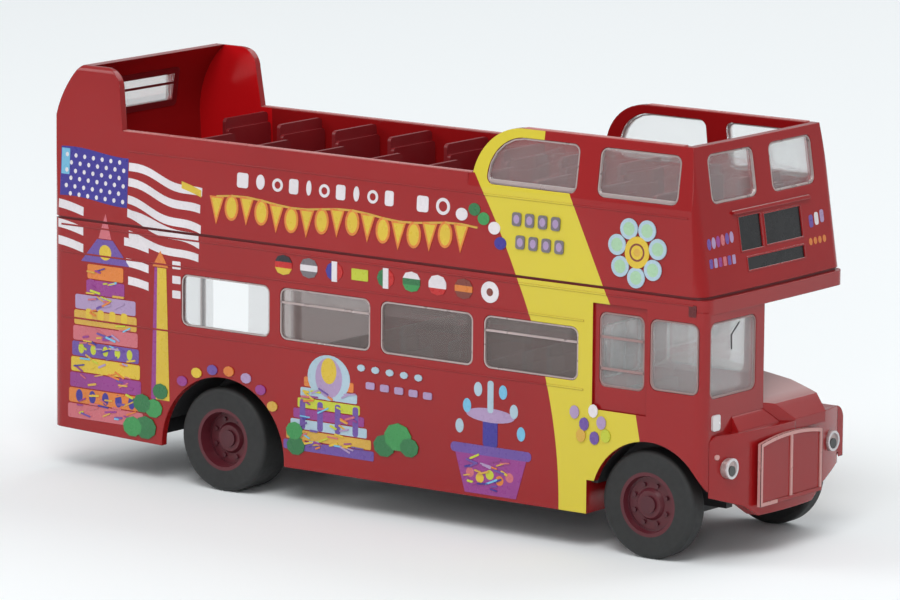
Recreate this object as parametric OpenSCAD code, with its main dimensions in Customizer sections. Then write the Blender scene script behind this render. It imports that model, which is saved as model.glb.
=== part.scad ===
// Half-cab double-decker bus with an open top and an open rear platform,
// built as a moulded-plastic scale model. +X is forward, +Y is the platform
// side, +Z is up, and the origin is on the ground below the middle.

/* [Body] */
// Overall length, from the tail lamps to the radiator
body_l = 94.2; // [88:0.1:104]
// Width over the side panels
body_w = 28; // [27:0.5:32]
// Thickness of the moulded walls
wall = 0.9; // [0.7:0.05:1.1]
// Height of the skirt above the ground
skirt_z = 4.2; // [3.5:0.1:5]
// Height of the joint between the two decks
deck_z = 29.6; // [28.5:0.1:31]
// Height of the open side walls of the upper deck
side_top_z = 40.4; // [39.5:0.1:41]
// Height of the rail over the upper front windows
rail_z = 45.8; // [45:0.1:47]
// Height of the rear hood
hood_z = 47.4; // [47:0.1:49]
// Radius of the upright corners at the rear
corner_r = 1.6; // [1.2:0.1:3]
// Height of the groove that runs round between the decks
groove_h = 0.3; // [0.2:0.05:0.5]
// Depth of that groove
groove_d = 0.25; // [0.15:0.05:0.4]
// How far the tail lamps stand out of the rear panel
lamp_out = 0.3; // [0.2:0.05:0.5]

/* [Upper front] */
// How far the upper front stands behind the radiator at the groove
front_setback = 2.55; // [2:0.05:5]
// How far the canopy over the windscreen stands out ahead of the upper front
canopy_out = 0.4; // [0.2:0.05:0.5]
// Lean of the upper front, in degrees
front_lean = 8.8; // [5:0.1:11]
// Radius of the bow across the upper front
bow_r = 400; // [200:1:500]
// Radius of the upright corners at the front
front_corner_r = 1.7; // [1.4:0.1:3]
// Lean of the upper side walls, in degrees
side_lean = 3.2; // [0:0.1:5]
// Lean of the side walls' window band, in degrees
side_window_lean = 9; // [5:0.1:11]
// Radius along the hood's upper edges
shoulder_r = 0.8; // [0.5:0.05:0.85]
// Radius of the hood's curved back
hood_r = 12; // [9:0.5:16]
// Length of the hood at the foot of its sides
hood_foot_l = 10.2; // [8:0.1:12]
// Radius of the round upper corner of the hood's sides
hood_edge_r = 2.4; // [1.5:0.1:3]
// Radius of the curved end of the front window frame
arc_r = 6.2; // [5.4:0.1:7]

/* [Cab and nose] */
// Distance from the front axle forward to the cab's front wall
cab_front_d = 7.7; // [7.2:0.05:8]
// Distance from the front axle back to the bulkhead
bulkhead_d = 7.6; // [7:0.05:9]
// Side position of the wall between the cab and the bonnet
cab_inner_y = -2.3; // [-3:0.1:0]
// How far the bonnet's inner edge slants outward per length ahead of the cab
bonnet_slant = 1.9; // [1:0.1:2.2]
// Side position of the bonnet's outer edge
bonnet_y = 7.4; // [6:0.1:8.5]
// Radius of the bow across the nose
nose_r = 43.4; // [30:0.1:60]
// Height of the nose panel beside the radiator
nose_top_z = 14.2; // [13.6:0.1:15]
// Height of the valance under the radiator
valance_z = 4.8; // [4:0.1:6]
// Half width of the radiator
radiator_half_w = 6.1; // [5:0.1:7]
// Lower edge of the radiator
radiator_z0 = 5.9; // [5.5:0.1:7]
// Height of the radiator's sides
radiator_z1 = 12.9; // [12:0.1:13.2]
// Diameter of the headlamps
lamp_d = 2.3; // [1.8:0.1:2.8]

/* [Windows] */
// Width of the pillar between two lower windows
pillar_w = 1.45; // [1.2:0.05:3]
// Number of lower windows on a side
window_n = 4; // [3:1:4]
// Sill height of the lower windows
sill_z = 18.85; // [18:0.05:20]
// Height of a lower window
window_h = 6; // [5:0.1:6.6]
// Radius of the windows' corners
window_r = 0.9; // [0.5:0.1:1.4]
// Sill height of the upper windows
upper_sill_z = 39.4; // [39:0.1:40]
// Height of an upper window
upper_window_h = 5.4; // [4.6:0.1:5.6]
// Gap round a pane in its window
pane_gap = 0.04; // [0.02:0.01:0.1]
// Depth of a pane below the outer face
pane_set = 0.15; // [0.05:0.05:0.3]
// Thickness of the clear strip behind the panes
strip_t = 0.4; // [0.3:0.05:0.6]

/* [Wheels] */
// Wheelbase as a share of the overall length
wheel_share = 0.6263; // [0.58:0.0001:0.66]
// Distance from the front axle to the radiator
front_overhang = 10.1; // [10:0.1:11]
// Diameter of the tyres
tyre_d = 12.1; // [11:0.1:13]
// Width of a single tyre
tyre_w = 2.5; // [2:0.1:3]
// Diameter of the rims
rim_d = 7.2; // [6:0.1:8]
// How far the wheels' outer faces stand inside the side panels
wheel_set = 0.8; // [0.4:0.1:1.2]
// Diameter of the axles
axle_d = 1.6; // [1.2:0.1:2]
// Radial clearance of an axle in its bearings
axle_clear = 0.06; // [0.03:0.01:0.1]
// Radius of the rear wheel arches
rear_arch_r = 8.9; // [8:0.1:9.4]
// Radius of the front wheel arches
front_arch_r = 7.6; // [7.2:0.1:8]

/* [Decks and seats] */
// Thickness of a deck plate
plate_t = 0.8; // [0.6:0.05:1]
// Height of the saloon floor
floor_z = 8.4; // [7.6:0.1:9]
// Height of the rear platform
platform_z = 5.2; // [4.8:0.1:6]
// Rows of seats on the upper deck
upper_rows = 9; // [6:1:9]
// Rows of seats in the saloon
lower_rows = 4; // [3:1:4]
// Half the width of the gangway on the upper deck
upper_aisle = 4.2; // [3:0.1:5]
// Half the width of the gangway in the saloon
lower_aisle = 2.4; // [2:0.1:4]
// Gap between a seat and the side wall
seat_gap = 0.3; // [0.2:0.05:1]
// Length of a seat cushion
seat_l = 4.4; // [4:0.1:5]
// Height of a seat cushion's top above its floor
seat_h = 4.4; // [3.8:0.1:5]
// Height of a seat back's top above its floor
back_h = 10.25; // [8.5:0.05:10.4]

/* [Hidden] */
$fn = 64;
far = 3 * body_l;
rear_x = lamp_out - body_l / 2;
front_x = body_l / 2;
front_axle_x = front_x - front_overhang;
rear_axle_x = front_axle_x - wheel_share * body_l;
axle_z = tyre_d / 2;
half_w = body_w / 2;
track_w = body_w - 2 * wheel_set;
bulkhead_x = front_axle_x - bulkhead_d;
cab_x = front_axle_x + cab_front_d;
canopy_x = front_x - front_setback;
canopy_z = deck_z - 1.8;
seam_lo = deck_z - groove_h / 2;
seam_hi = deck_z + groove_h / 2;
arch_dx = 0.6;
rear_arch_x = rear_axle_x + arch_dx;
front_arch_x = front_axle_x + arch_dx;
arch_low = 1.5;
rear_arch_z = axle_z - arch_low;
front_arch_z = axle_z - 0.3 * arch_low;
platform_x = rear_arch_x - rear_arch_r - 1.9;
window_x1 = bulkhead_x - 1.3;
window_pitch = (window_x1 - platform_x - 3.3) / window_n;
window_w = window_pitch - pillar_w;
band_z = upper_sill_z - 0.4;
nose_x = front_x - 0.45;
nose_low_z = 8;
bonnet_z = sill_z + 0.95;
fit = 0.05;
glass = [0.85, 0.9, 0.92, 0.5];
red = [0.66, 0.13, 0.15];
maroon = [0.4, 0.16, 0.2];
dark = [0.14, 0.14, 0.15];
silver = [0.78, 0.78, 0.8];

// A rectangle with round corners, from its edges
module rounded(x0, y0, x1, y1, r) {
  translate([x0 + r, y0]) square([x1 - x0 - 2 * r, y1 - y0]);
  translate([x0, y0 + r]) square([x1 - x0, y1 - y0 - 2 * r]);
  for (x = [x0 + r, x1 - r], y = [y0 + r, y1 - r]) translate([x, y]) circle(r);
}

// Extrudes an outline drawn in X and Z from y0 to y1
module along_y(y0, y1) {
  translate([0, y1, 0]) rotate([90, 0, 0]) linear_extrude(y1 - y0) children();
}

// Extrudes an outline drawn in Y and Z from x0 to x1
module along_x(x0, x1) {
  translate([x0, 0, 0]) rotate([90, 0, 90]) linear_extrude(x1 - x0) children();
}

// Extrudes an outline drawn in X and Y from z0 to z1
module upright(z0, z1) {
  translate([0, 0, z0]) linear_extrude(z1 - z0) children();
}

// Plan of the saloon, inset by i, with round corners at the rear
module saloon_plan(i) {
  r = corner_r - i;
  x0 = rear_x + i;
  w = half_w - i;
  translate([x0 + r, -w]) square([bulkhead_x - i - x0 - r, 2 * w]);
  translate([x0, r - w]) square([2 * r, 2 * (w - r)]);
  for (s = [-1, 1]) translate([x0 + r, s * (w - r)]) circle(r);
}

// Plan of the driver's cab, inset by i, with a round outer corner
cab_r = 1.3;
module cab_plan(i) {
  r = cab_r - i;
  w = half_w - i;
  x1 = cab_x - i;
  translate([bulkhead_x - wall + i, r - w]) square([x1 - bulkhead_x + wall - i, cab_inner_y - i + w - r]);
  translate([bulkhead_x - wall + i, -w]) square([x1 - r - bulkhead_x + wall - i, 2 * r]);
  if (r > 0) translate([x1 - r, r - w]) circle(r);
}

// Plan of the upper deck's front, inset by i, bowed and with round corners
module front_plan(i) {
  r = front_corner_r - i;
  big = bow_r - i;
  w = half_w - i;
  bow_x = canopy_x - bow_r;
  cy = w - r;
  cx = bow_x + sqrt((big - r) * (big - r) - cy * cy);
  reach = 2;
  intersection() {
    translate([bow_x, 0]) circle(big, $fn = 256);
    polygon([
      [bow_x, 0], [bow_x + (cx - bow_x) * reach, cy * reach], [bow_x + (cx - bow_x) * reach, -cy * reach]
    ]);
  }
  translate([rear_x - 1, -w]) square([cx - rear_x + 1, 2 * w]);
  for (s = [-1, 1]) translate([cx, s * cy]) circle(r);
}

// A leaning prism that the upper front is cut from, hinged at the groove, and the upright one below it
module front_prism(i, z0, z1, lean) {
  translate([canopy_x, 0, deck_z]) rotate([0, -lean, 0]) translate([-canopy_x, 0, -deck_z])
    upright(z0, z1) front_plan(i);
}
module canopy_prism(i) {
  translate([canopy_out, 0, 0]) front_prism(i, deck_z - 12, deck_z + 1, 0);
}

// Section of the upper deck, inset by i: upright to the groove, then leaning in
module upper_section(i) {
  w0 = half_w - i;
  w1 = w0 - (band_z - deck_z) * tan(side_lean);
  w2 = w1 - (hood_z + 5 - band_z) * tan(side_window_lean);
  polygon([
    [-w0, deck_z - 4], [w0, deck_z - 4], [w0, deck_z], [w1, band_z],
    [w2, hood_z + 5], [-w2, hood_z + 5], [-w1, band_z], [-w0, deck_z]
  ]);
}

// The same for the hood and the open sides, whose lean stays even, and the hood's round upper edges
module hood_section(i) {
  w0 = half_w - i;
  w1 = w0 - (hood_z + 5 - deck_z) * tan(side_lean);
  polygon([
    [-w0, deck_z - 4], [w0, deck_z - 4], [w0, deck_z], [w1, hood_z + 5], [-w1, hood_z + 5], [-w0, deck_z]
  ]);
}
module hood_shoulders(i) {
  w = half_w - (hood_z - deck_z) * tan(side_lean) + 0.05;
  r = shoulder_r - i;
  top = i < wall ? hood_z - shoulder_r : hood_z + 5;
  translate([-far / 2, deck_z - 5]) square([far, top - deck_z + 5]);
  if (i < wall) {
    translate([shoulder_r - w, deck_z]) square([2 * (w - shoulder_r), hood_z - i - deck_z]);
    for (s = [-1, 1]) translate([s * (w - shoulder_r), hood_z - shoulder_r]) circle(r);
  }
}

// Side view of the upper deck's rear, inset by i, with the hood's curved back
module rear_profile(i) {
  back_z = hood_z - 8.6;
  intersection() {
    translate([rear_x + i, deck_z - 4]) square([2 * body_l, 60]);
    union() {
      translate([rear_x - 1, deck_z - 5]) square([2 * body_l, back_z - deck_z + 5]);
      translate([rear_x + hood_r, back_z]) circle(hood_r - i, $fn = 96);
      translate([rear_x + hood_r, deck_z]) square([2 * body_l, 30]);
    }
  }
}

// The upper deck's outer form, inset by i; the inner form is open upwards over its whole length
module upper_form(i) {
  intersection() {
    front_prism(i, deck_z - 12, deck_z + 45, front_lean);
    union() {
      intersection() {
        along_x(rear_x - 1, arc_x - arc_r - 0.5) hood_section(i);
        along_x(rear_x - 1, arc_x - arc_r - 0.5) hood_shoulders(i);
      }
      along_x(arc_x - arc_r - 1.5, front_x + 1) upper_section(i);
    }
    along_y(-far / 2, far / 2) rear_profile(i);
    upright(deck_z - 12, deck_z + 30) rear_plan(i);
  }
}

// Plan with only the rear corners round, inset by i
module rear_plan(i) {
  r = corner_r - i;
  w = half_w - i;
  x0 = rear_x + i;
  translate([x0 + r, -w]) square([body_l, 2 * w]);
  translate([x0, r - w]) square([2 * r, 2 * (w - r)]);
  for (s = [-1, 1]) translate([x0 + r, s * (w - r)]) circle(r);
}

// Edges of the upper side windows along X, and the curved frame round the first
curved_window = [bulkhead_x - 14.35, bulkhead_x - 2.25];
plain_window = [bulkhead_x + 0.45, canopy_x - 4];
curved_pane_r = 4.5;
arc_x = curved_window[0] - 2 + arc_r;

// Side view of the upper deck's top edge: hood, open side, curved frame and rail
hood_foot_x = rear_x + hood_foot_l;
hood_top_x = hood_foot_x - 0.6 - hood_edge_r;
module top_profile() {
  polygon([
    [rear_x - 1, deck_z - 5], [front_x + 1, deck_z - 5], [front_x + 1, side_top_z], [hood_foot_x, side_top_z],
    [hood_foot_x - 0.6, hood_z - hood_edge_r], [rear_x - 1, hood_z - hood_edge_r]
  ]);
  translate([rear_x - 1, deck_z]) square([hood_top_x - rear_x + 1, hood_z - deck_z]);
  translate([hood_top_x, hood_z - hood_edge_r]) circle(hood_edge_r);
  translate([arc_x, rail_z - arc_r]) circle(arc_r);
  translate([arc_x, deck_z]) square([front_x - arc_x + 1, rail_z - deck_z]);
}

// Outlines of the upper side windows: the curved one and the plain one
module upper_window(n, g) {
  edges = n == 0 ? curved_window : plain_window;
  x0 = edges[0] + g;
  x1 = edges[1] - g;
  z0 = upper_sill_z + g;
  z1 = upper_sill_z + upper_window_h - g;
  if (n == 0) {
    r = curved_pane_r - g;
    difference() {
      rounded(x0, z0, x1, z1, window_r - g);
      translate([x0 - 1, z1 - r]) square([r + 1, r + 1]);
    }
    intersection() {
      translate([x0 + r, z1 - r]) circle(r);
      translate([x0, z1 - r]) square(r);
    }
  } else rounded(x0, z0, x1, z1, window_r - g);
}

// The n-th lower window's edges, counted from the front
function window_left(n) = window_x1 - window_w - n * window_pitch;
module lower_window(n, g) {
  rounded(window_left(n) + g, sill_z + g, window_left(n) + window_w - g, sill_z + window_h - g, window_r - g);
}

// Edges of the cab's windows: side view, front view and the wall beside the bonnet
cab_side = [front_axle_x + 0.6, cab_x - 0.75];
door_side = [bulkhead_x + 0.6, front_axle_x + 0.15];
door_window = [bulkhead_x + 1.3, front_axle_x - 0.3];
cab_sill = sill_z + 0.15;
cab_head = canopy_z - 0.9;
screen_y = [1.2 - half_w, cab_inner_y - 1.6];
module cab_side_window(g) {
  rounded(cab_side[0] + g, cab_sill + g, cab_side[1] - g, cab_head - g, window_r - g);
}
module windscreen(g) {
  rounded(screen_y[0] + g, cab_sill - 0.5 + g, screen_y[1] - g, cab_head - g, window_r - g);
}
module inner_window(g) {
  rounded(bulkhead_x + 3 + g, cab_sill + 1 + g, cab_x - 2 - g, cab_head - g, window_r - g);
}
module door_pane(g) {
  rounded(door_window[0] + g, cab_sill - 0.4 + g, door_window[1] - g, cab_head - g, window_r - g);
}
module bulkhead_window(g) {
  rounded(bonnet_y - 5 + g, bonnet_z + 0.6 + g, half_w - 2 - g, sill_z + window_h - g, window_r - g);
}
module driver_window(g) {
  rounded(-half_w + 3 + g, sill_z + g, cab_inner_y - 1.5 - g, sill_z + window_h - g, window_r - g);
}

// Upper front windows, side n, in the front view
front_pane = [1.5, half_w - 3.8];
module upper_front_window(s, g) {
  y0 = s > 0 ? front_pane[0] : -front_pane[1];
  y1 = s > 0 ? front_pane[1] : -front_pane[0];
  rounded(y0 + g, upper_sill_z + g, y1 - g, upper_sill_z + upper_window_h - g, window_r - g);
}

// Hood window, narrower at its top
hood_pane = [hood_z - 6.6, hood_z - 2.7];
hood_pane_w = half_w - 6.5;
module hood_window(g) {
  top = hood_pane_w - 1.6 - g;
  foot = hood_pane_w + 0.2 - g;
  intersection() {
    rounded(g - hood_pane_w, hood_pane[0] + g, hood_pane_w - g, hood_pane[1] - g, window_r - g);
    polygon([[-foot, hood_pane[0]], [foot, hood_pane[0]], [top, hood_pane[1]], [-top, hood_pane[1]]]);
  }
}

// Blank route displays on the upper front: a square, a panel and a low strip, grown by g
display_z = deck_z + 4.3;
module displays(g) {
  rounded(-5.8 - g, display_z - 0.1 - g, -1.5 + g, display_z + 3.7 + g, 0.2);
  rounded(-0.9 - g, display_z - g, 6.5 + g, display_z + 3.5 + g, 0.2);
  rounded(-4.9 - g, deck_z + 2 - g, 6.5 + g, deck_z + 3.5 + g, 0.2);
}

// The wheel arches, cut in both sides
module arches(r_more) {
  translate([rear_arch_x, rear_arch_z]) circle(rear_arch_r + r_more);
  translate([front_arch_x, front_arch_z]) circle(front_arch_r + r_more);
}

module lower_body() color(red) {
  difference() {
    union() {
      upright(skirt_z, seam_lo) saloon_plan(0);
      upright(nose_low_z, canopy_z + 0.3) cab_plan(0);
      intersection() {
        upright(canopy_z, seam_lo) translate([bulkhead_x - wall, -far / 2]) square(far);
        canopy_prism(0);
      }
    }
    upright(skirt_z - 1, deck_z) saloon_plan(wall);
    upright(skirt_z - 1, deck_z) intersection() {
      cab_plan(wall);
      translate([bulkhead_x, -far / 2]) square(far);
    }
    intersection() {
      upright(canopy_z - 1, deck_z) translate([bulkhead_x, -far / 2]) square(far);
      difference() {
        canopy_prism(wall);
        upright(canopy_z - 2, canopy_z) cab_plan(0);
      }
    }
    along_y(-half_w - 1, half_w + 1) arches(0);
    along_y(-half_w - 1, half_w + 1)
      polygon([
        [rear_x - 1, skirt_z - 1], [rear_arch_x, skirt_z - 1],
        [rear_arch_x, skirt_z], [rear_x - 1, skirt_z + 0.8]
      ]);
    for (n = [0:window_n - 1]) {
      along_y(-half_w - 1, -half_w + 2 * wall) lower_window(n, 0);
      along_y(half_w - 2 * wall, half_w + 1) lower_window(n, 0);
    }
    along_y(-half_w - 1, -half_w + 2 * wall) {
      cab_side_window(0);
      door_outline();
    }
    along_x(cab_x - 2 * wall, cab_x + 1) windscreen(0);
    along_y(cab_inner_y - 2 * wall, cab_inner_y + 1) inner_window(0);
    along_x(bulkhead_x - 2 * wall, bulkhead_x + 1) {
      bulkhead_window(0);
      driver_window(0);
      translate([-rail_y - rail_w, skirt_z - 1])
        square([2 * rail_y + 2 * rail_w, floor_z - plate_t - skirt_z + 1]);
    }
    platform_opening();
  }
}

// The way in at the rear corner on the platform side
entry_z = sill_z + window_h;
entry_y = 1.6;
entry_r = 1.2;
module platform_opening() {
  along_y(half_w - 2 * wall, half_w + 1) rounded(rear_x - 1, 0, platform_x, entry_z, entry_r);
  along_x(rear_x - 1, rear_x + 2 * corner_r) rounded(entry_y, 0, half_w + 1, entry_z, entry_r);
}

// The driver's sliding door, set back in its opening
door_set = 0.3;
door_z = cab_sill - 3;
module door_outline() {
  translate([door_side[0], door_z]) square([door_side[1] - door_side[0], canopy_z - door_z]);
}
module cab_door() color(red) {
  difference() {
    along_y(-half_w + door_set, -half_w + wall) door_outline();
    along_y(-half_w - 1, -half_w + 2 * wall) door_pane(0);
  }
}

// The plate between the decks, whose edge shows in the groove
stair_l = platform_x - rear_x - 2.6;
stair_w = half_w / 2;
stair_x = platform_x - 0.4 - stair_l;
stair_y = wall + 0.4 - half_w;
module deck_plate() color(maroon) {
  difference() {
    union() {
      intersection() {
        upright(seam_lo, seam_hi) translate([rear_x, -far / 2]) square(far);
        upper_form(groove_d);
      }
      intersection() {
        upright(seam_lo - plate_t, seam_lo) translate([rear_x, -far / 2]) square(far);
        canopy_prism(wall + fit);
        upright(deck_z - 12, deck_z + 1) rear_plan(wall + fit);
      }
    }
    upright(deck_z - 5, deck_z + 5) translate([stair_x, stair_y]) square([stair_l, stair_w]);
    upright(deck_z - 5, seam_lo) {
      translate([bulkhead_x - wall - fit, -far / 2]) square([wall + 2 * fit, far]);
      translate([bulkhead_x - 1, cab_inner_y - wall - fit])
        square([cab_x - bulkhead_x + 1 + fit, wall + 2 * fit]);
      translate([cab_x - wall - fit, -far / 2]) square([wall + 2 * fit, far / 2 + cab_inner_y + fit]);
    }
  }
}

display_set = 0.3;
module upper_body() color(red) {
  difference() {
    intersection() {
      upper_form(0);
      along_y(-half_w - 1, half_w + 1) top_profile();
      translate([-far / 2, -far / 2, seam_hi]) cube(far);
    }
    upper_form(wall);
    for (s = [-1, 1], n = [0, 1])
      along_y(s > 0 ? half_w - 3 : -half_w - 1, s > 0 ? half_w + 1 : -half_w + 3) upper_window(n, 0);
    for (s = [-1, 1]) along_x(canopy_x - 5, front_x) upper_front_window(s, 0);
    along_x(rear_x - 1, rear_x + 6) hood_window(0);
    difference() {
      along_x(canopy_x - 4, front_x) displays(0);
      upper_form(display_set);
    }
  }
}

// Blank displays, standing a little back in their recesses
module destination_box() color(dark) {
  intersection() {
    difference() {
      upper_form(0.1);
      upper_form(display_set);
    }
    along_x(canopy_x - 4, front_x) displays(0);
  }
}

wheel_box_y = half_w - track_w / 2 + 2 * tyre_w + 2.6;
module saloon_floor() color(dark) {
  difference() {
    intersection() {
      upright(floor_z - plate_t, floor_z) saloon_plan(wall + fit);
      upright(0, far) translate([platform_x, -far / 2]) square(far);
    }
    for (s = [-1, 1]) wheel_space(s, wheel_box_y, rear_arch_x, rear_arch_z, rear_arch_r);
  }
  for (s = [-1, 1]) wheel_box(s);
}

// The half-round space over a wheel on side s, from the side inward by w
module wheel_space(s, w, x, z, r) {
  y0 = s > 0 ? half_w - w : -half_w;
  along_y(y0, y0 + w) translate([x, z]) circle(r);
}

// A closed half-round box over the rear wheels on side s
module wheel_box(s) {
  y0 = s > 0 ? half_w - wheel_box_y : wall + fit - half_w;
  y1 = s > 0 ? half_w - wall - fit : wheel_box_y - half_w;
  difference() {
    along_y(y0, y1) translate([rear_arch_x, rear_arch_z]) circle(rear_arch_r + plate_t);
    along_y(s > 0 ? y0 + plate_t : y0 - 1, s > 0 ? y1 + 1 : y1 - plate_t)
      translate([rear_arch_x, rear_arch_z]) circle(rear_arch_r);
    translate([-far / 2, -far / 2, floor_z - plate_t - far]) cube(far);
  }
}

module rear_platform() color(dark) {
  intersection() {
    upright(platform_z, platform_z + plate_t) saloon_plan(wall + fit);
    upright(0, far) translate([rear_x, -far / 2]) square([platform_x - rear_x, far]);
  }
  upright(platform_z + plate_t, floor_z - plate_t)
    translate([platform_x - plate_t, 2 - half_w]) square([plate_t, body_w - 4]);
}

// Underframe: two rails, cross members and a bearing block for each axle
rail_y = 4.6;
rail_w = 1.2;
rail_z0 = 5;
frame_top = floor_z - plate_t;
belly_l = 28;
belly_w = 8;
belly_z = 4.6;
belly_x0 = (platform_x + bulkhead_x) / 2 - belly_l / 2 + 7.6;
module chassis() color(dark) {
  difference() {
    union() {
      for (s = [-1, 1])
        translate([platform_x, s * rail_y - rail_w / 2, rail_z0])
          cube([front_axle_x + 5 - platform_x, rail_w, frame_top - rail_z0]);
      for (n = [0:3])
        translate([platform_x + 4 + n * (bulkhead_x - platform_x - 8) / 3.6, -rail_y, rail_z0 + 0.6])
          cube([1.4, 2 * rail_y, frame_top - rail_z0 - 0.6]);
      for (x = [rear_axle_x, front_axle_x])
        translate([x - 2, -rail_y - rail_w / 2, axle_z - axle_d / 2 - 1])
          cube([4, 2 * rail_y + rail_w, frame_top - axle_z + axle_d / 2 + 1]);
      translate([belly_x0, -belly_w / 2, belly_z]) cube([belly_l, belly_w, 1]);
    }
    for (x = [rear_axle_x, front_axle_x])
      translate([x, 0, axle_z]) rotate([90, 0, 0])
        cylinder(d = axle_d + 2 * axle_clear, h = 40, center = true);
  }
}

// The bonnet: a crowned top that falls to the radiator, with upright sides
// and a slanting edge ahead of the cab
bonnet_low_z = radiator_z1 + 0.5;
crown_r = 56;
bonnet_r = 14;
module bonnet_outline(i) {
  intersection() {
    polygon([
      [bulkhead_x, 10], [cab_x - i, 10], [cab_x - i, bonnet_low_z], [front_x - 0.5 - i, bonnet_low_z],
      [front_x - 0.5 - i, bonnet_low_z + 1.2], [cab_x + 0.6, bonnet_z - 3.2], [cab_x - 0.6, bonnet_z + 2],
      [bulkhead_x, bonnet_z + 2]
    ]);
    translate([bulkhead_x - 3, bonnet_z - crown_r]) circle(crown_r - i, $fn = 200);
  }
}
module bonnet_plan(x1) {
  polygon([
    [bulkhead_x, cab_inner_y], [cab_x, cab_inner_y], [x1, cab_inner_y + bonnet_slant * (x1 - cab_x)],
    [x1, bonnet_y], [bulkhead_x, bonnet_y]
  ]);
}
module bonnet() color(red) {
  difference() {
    intersection() {
      along_y(cab_inner_y, bonnet_y) bonnet_outline(0);
      upright(0, far) bonnet_plan(front_x - 0.4);
      translate([bulkhead_x, (cab_inner_y + bonnet_y) / 2, bonnet_z + 0.3 - bonnet_r])
        rotate([0, 98, 0]) cylinder(r = bonnet_r, h = 60, center = true, $fn = 128);
    }
    intersection() {
      along_y(cab_inner_y + wall, bonnet_y - wall) translate([0, -wall]) bonnet_outline(wall);
      translate([bulkhead_x - 1, -far / 2, 0]) cube([cab_x - bulkhead_x + 0.6, far, far]);
    }
  }
}

// The nose beside and under the radiator, bowed in plan, with a shelf that slopes up to the windscreen
module nose_plan(i) {
  intersection() {
    translate([nose_x - nose_r, 0]) circle(nose_r - i, $fn = 200);
    translate([cab_x, 0.2 - half_w]) square([4, body_w - 0.4]);
  }
}
shelf_y = cab_inner_y - 6.2;
module nose_face() {
  edge = half_w - 0.2;
  polygon([
    [-edge, nose_low_z], [-radiator_half_w - 1.6, 6.2], [0.8 - radiator_half_w, valance_z],
    [radiator_half_w - 0.8, valance_z], [radiator_half_w + 1.6, 6.2], [edge, nose_low_z],
    [edge, nose_top_z - 1.6], [edge - 1.4, nose_top_z], [bonnet_y, nose_top_z + 0.2],
    [2 - half_w, nose_top_z + 0.2], [-edge, nose_top_z - 1]
  ]);
}
module nose_panel() color(red) {
  difference() {
    union() {
      intersection() {
        upright(valance_z, nose_top_z + 4) nose_plan(0);
        along_x(cab_x, front_x) nose_face();
      }
      intersection() {
        along_y(shelf_y, bonnet_y)
          polygon([
            [cab_x, nose_top_z], [cab_x + 1, nose_top_z],
            [cab_x + 1, nose_top_z + 0.3], [cab_x, nose_top_z + 1.9]
          ]);
        upright(valance_z, nose_top_z + 4) nose_plan(0);
      }
    }
    for (s = [-1, 1]) lamp(s);
    upright(bonnet_low_z, far) bonnet_plan(front_x + 1);
  }
}

// Wing over the front wheel on the platform side
module nearside_wing() color(red) {
  difference() {
    intersection() {
      translate([bulkhead_x, bonnet_y, skirt_z])
        cube([cab_x - bulkhead_x, half_w - bonnet_y, nose_top_z - skirt_z]);
      along_x(bulkhead_x, cab_x) rounded(-half_w, 0, half_w, nose_top_z, 1.6);
    }
    along_y(0, half_w - wall) union() {
      translate([front_arch_x, front_arch_z]) circle(front_arch_r + 0.2);
      translate([bulkhead_x + wall, 0]) square([cab_x - bulkhead_x - 2 * wall, nose_top_z - wall]);
    }
    along_y(0, half_w + 1) arches(0);
    translate([front_arch_x, 0, -1]) cube([20, 30, nose_low_z + 1]);
  }
}

module radiator_outline(i) {
  w = radiator_half_w - i;
  rise = 0.6;
  r = (radiator_half_w * radiator_half_w + rise * rise) / (2 * rise);
  intersection() {
    translate([-w, radiator_z0 + i]) square([2 * w, 20]);
    translate([0, radiator_z1 + rise - r]) circle(r - i, $fn = 256);
  }
}
module radiator() color(red) {
  along_x(nose_x, front_x - 0.15) radiator_outline(0.4);
}
module radiator_frame() color(silver) {
  along_x(nose_x, front_x) {
    difference() {
      radiator_outline(0);
      radiator_outline(0.4);
    }
  }
  along_x(front_x - 0.15, front_x) intersection() {
    radiator_outline(0.2);
    translate([-0.2, 0]) square([0.4, 30]);
  }
}

// Headlamps, set half into the nose
lamp_y = radiator_half_w + 4;
lamp_z = 10.7;
module lamp(s) {
  x0 = nose_x - nose_r + sqrt(nose_r * nose_r - lamp_y * lamp_y) - 0.5;
  translate([x0, s * lamp_y, lamp_z]) rotate([0, 90, 0]) cylinder(d = lamp_d, h = 0.9);
}
module headlamp_offside() color(silver) lamp(-1);
module headlamp_nearside() color(silver) lamp(1);

// A double seat facing forward from x, on a floor at z, side s, from the gangway out to y1:
// a cushion on a plinth, a padded back and a rail over it
back_t = 0.9;
pad_drop = 1.2;
module seat(x, z, s, aisle, y1) {
  w = y1 - aisle;
  translate([x, s > 0 ? aisle : -y1, z]) {
    translate([0, 0, seat_h - 1.2]) cube([seat_l, w, 1.2]);
    translate([0.6, 0.8, 0]) cube([seat_l - 1.8, w - 1.6, seat_h - 1.2]);
    translate([0, 0, -z]) {
      along_x(-back_t, -back_t / 2) translate([0, z]) rounded(0, seat_h - 1.2, w, back_h, 0.5);
      along_x(-back_t, 0) translate([0, z]) rounded(0, seat_h - 1.2, w, back_h - pad_drop, 0.4);
    }
  }
}

// The upper rows, with one more behind them beside the stairs
upper_seat_y = half_w - wall - (back_h + groove_h) * tan(side_lean) - seat_gap;
upper_row_x = rear_x + 19.9;
upper_pitch = (canopy_x - 7.2 - upper_row_x) / (upper_rows - 1);
module upper_seats() color(red) {
  for (n = [0:upper_rows - 1], s = [-1, 1])
    seat(upper_row_x + n * upper_pitch, seam_hi, s, upper_aisle, upper_seat_y);
  seat(upper_row_x - upper_pitch, seam_hi, 1, upper_aisle, upper_seat_y);
}

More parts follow.
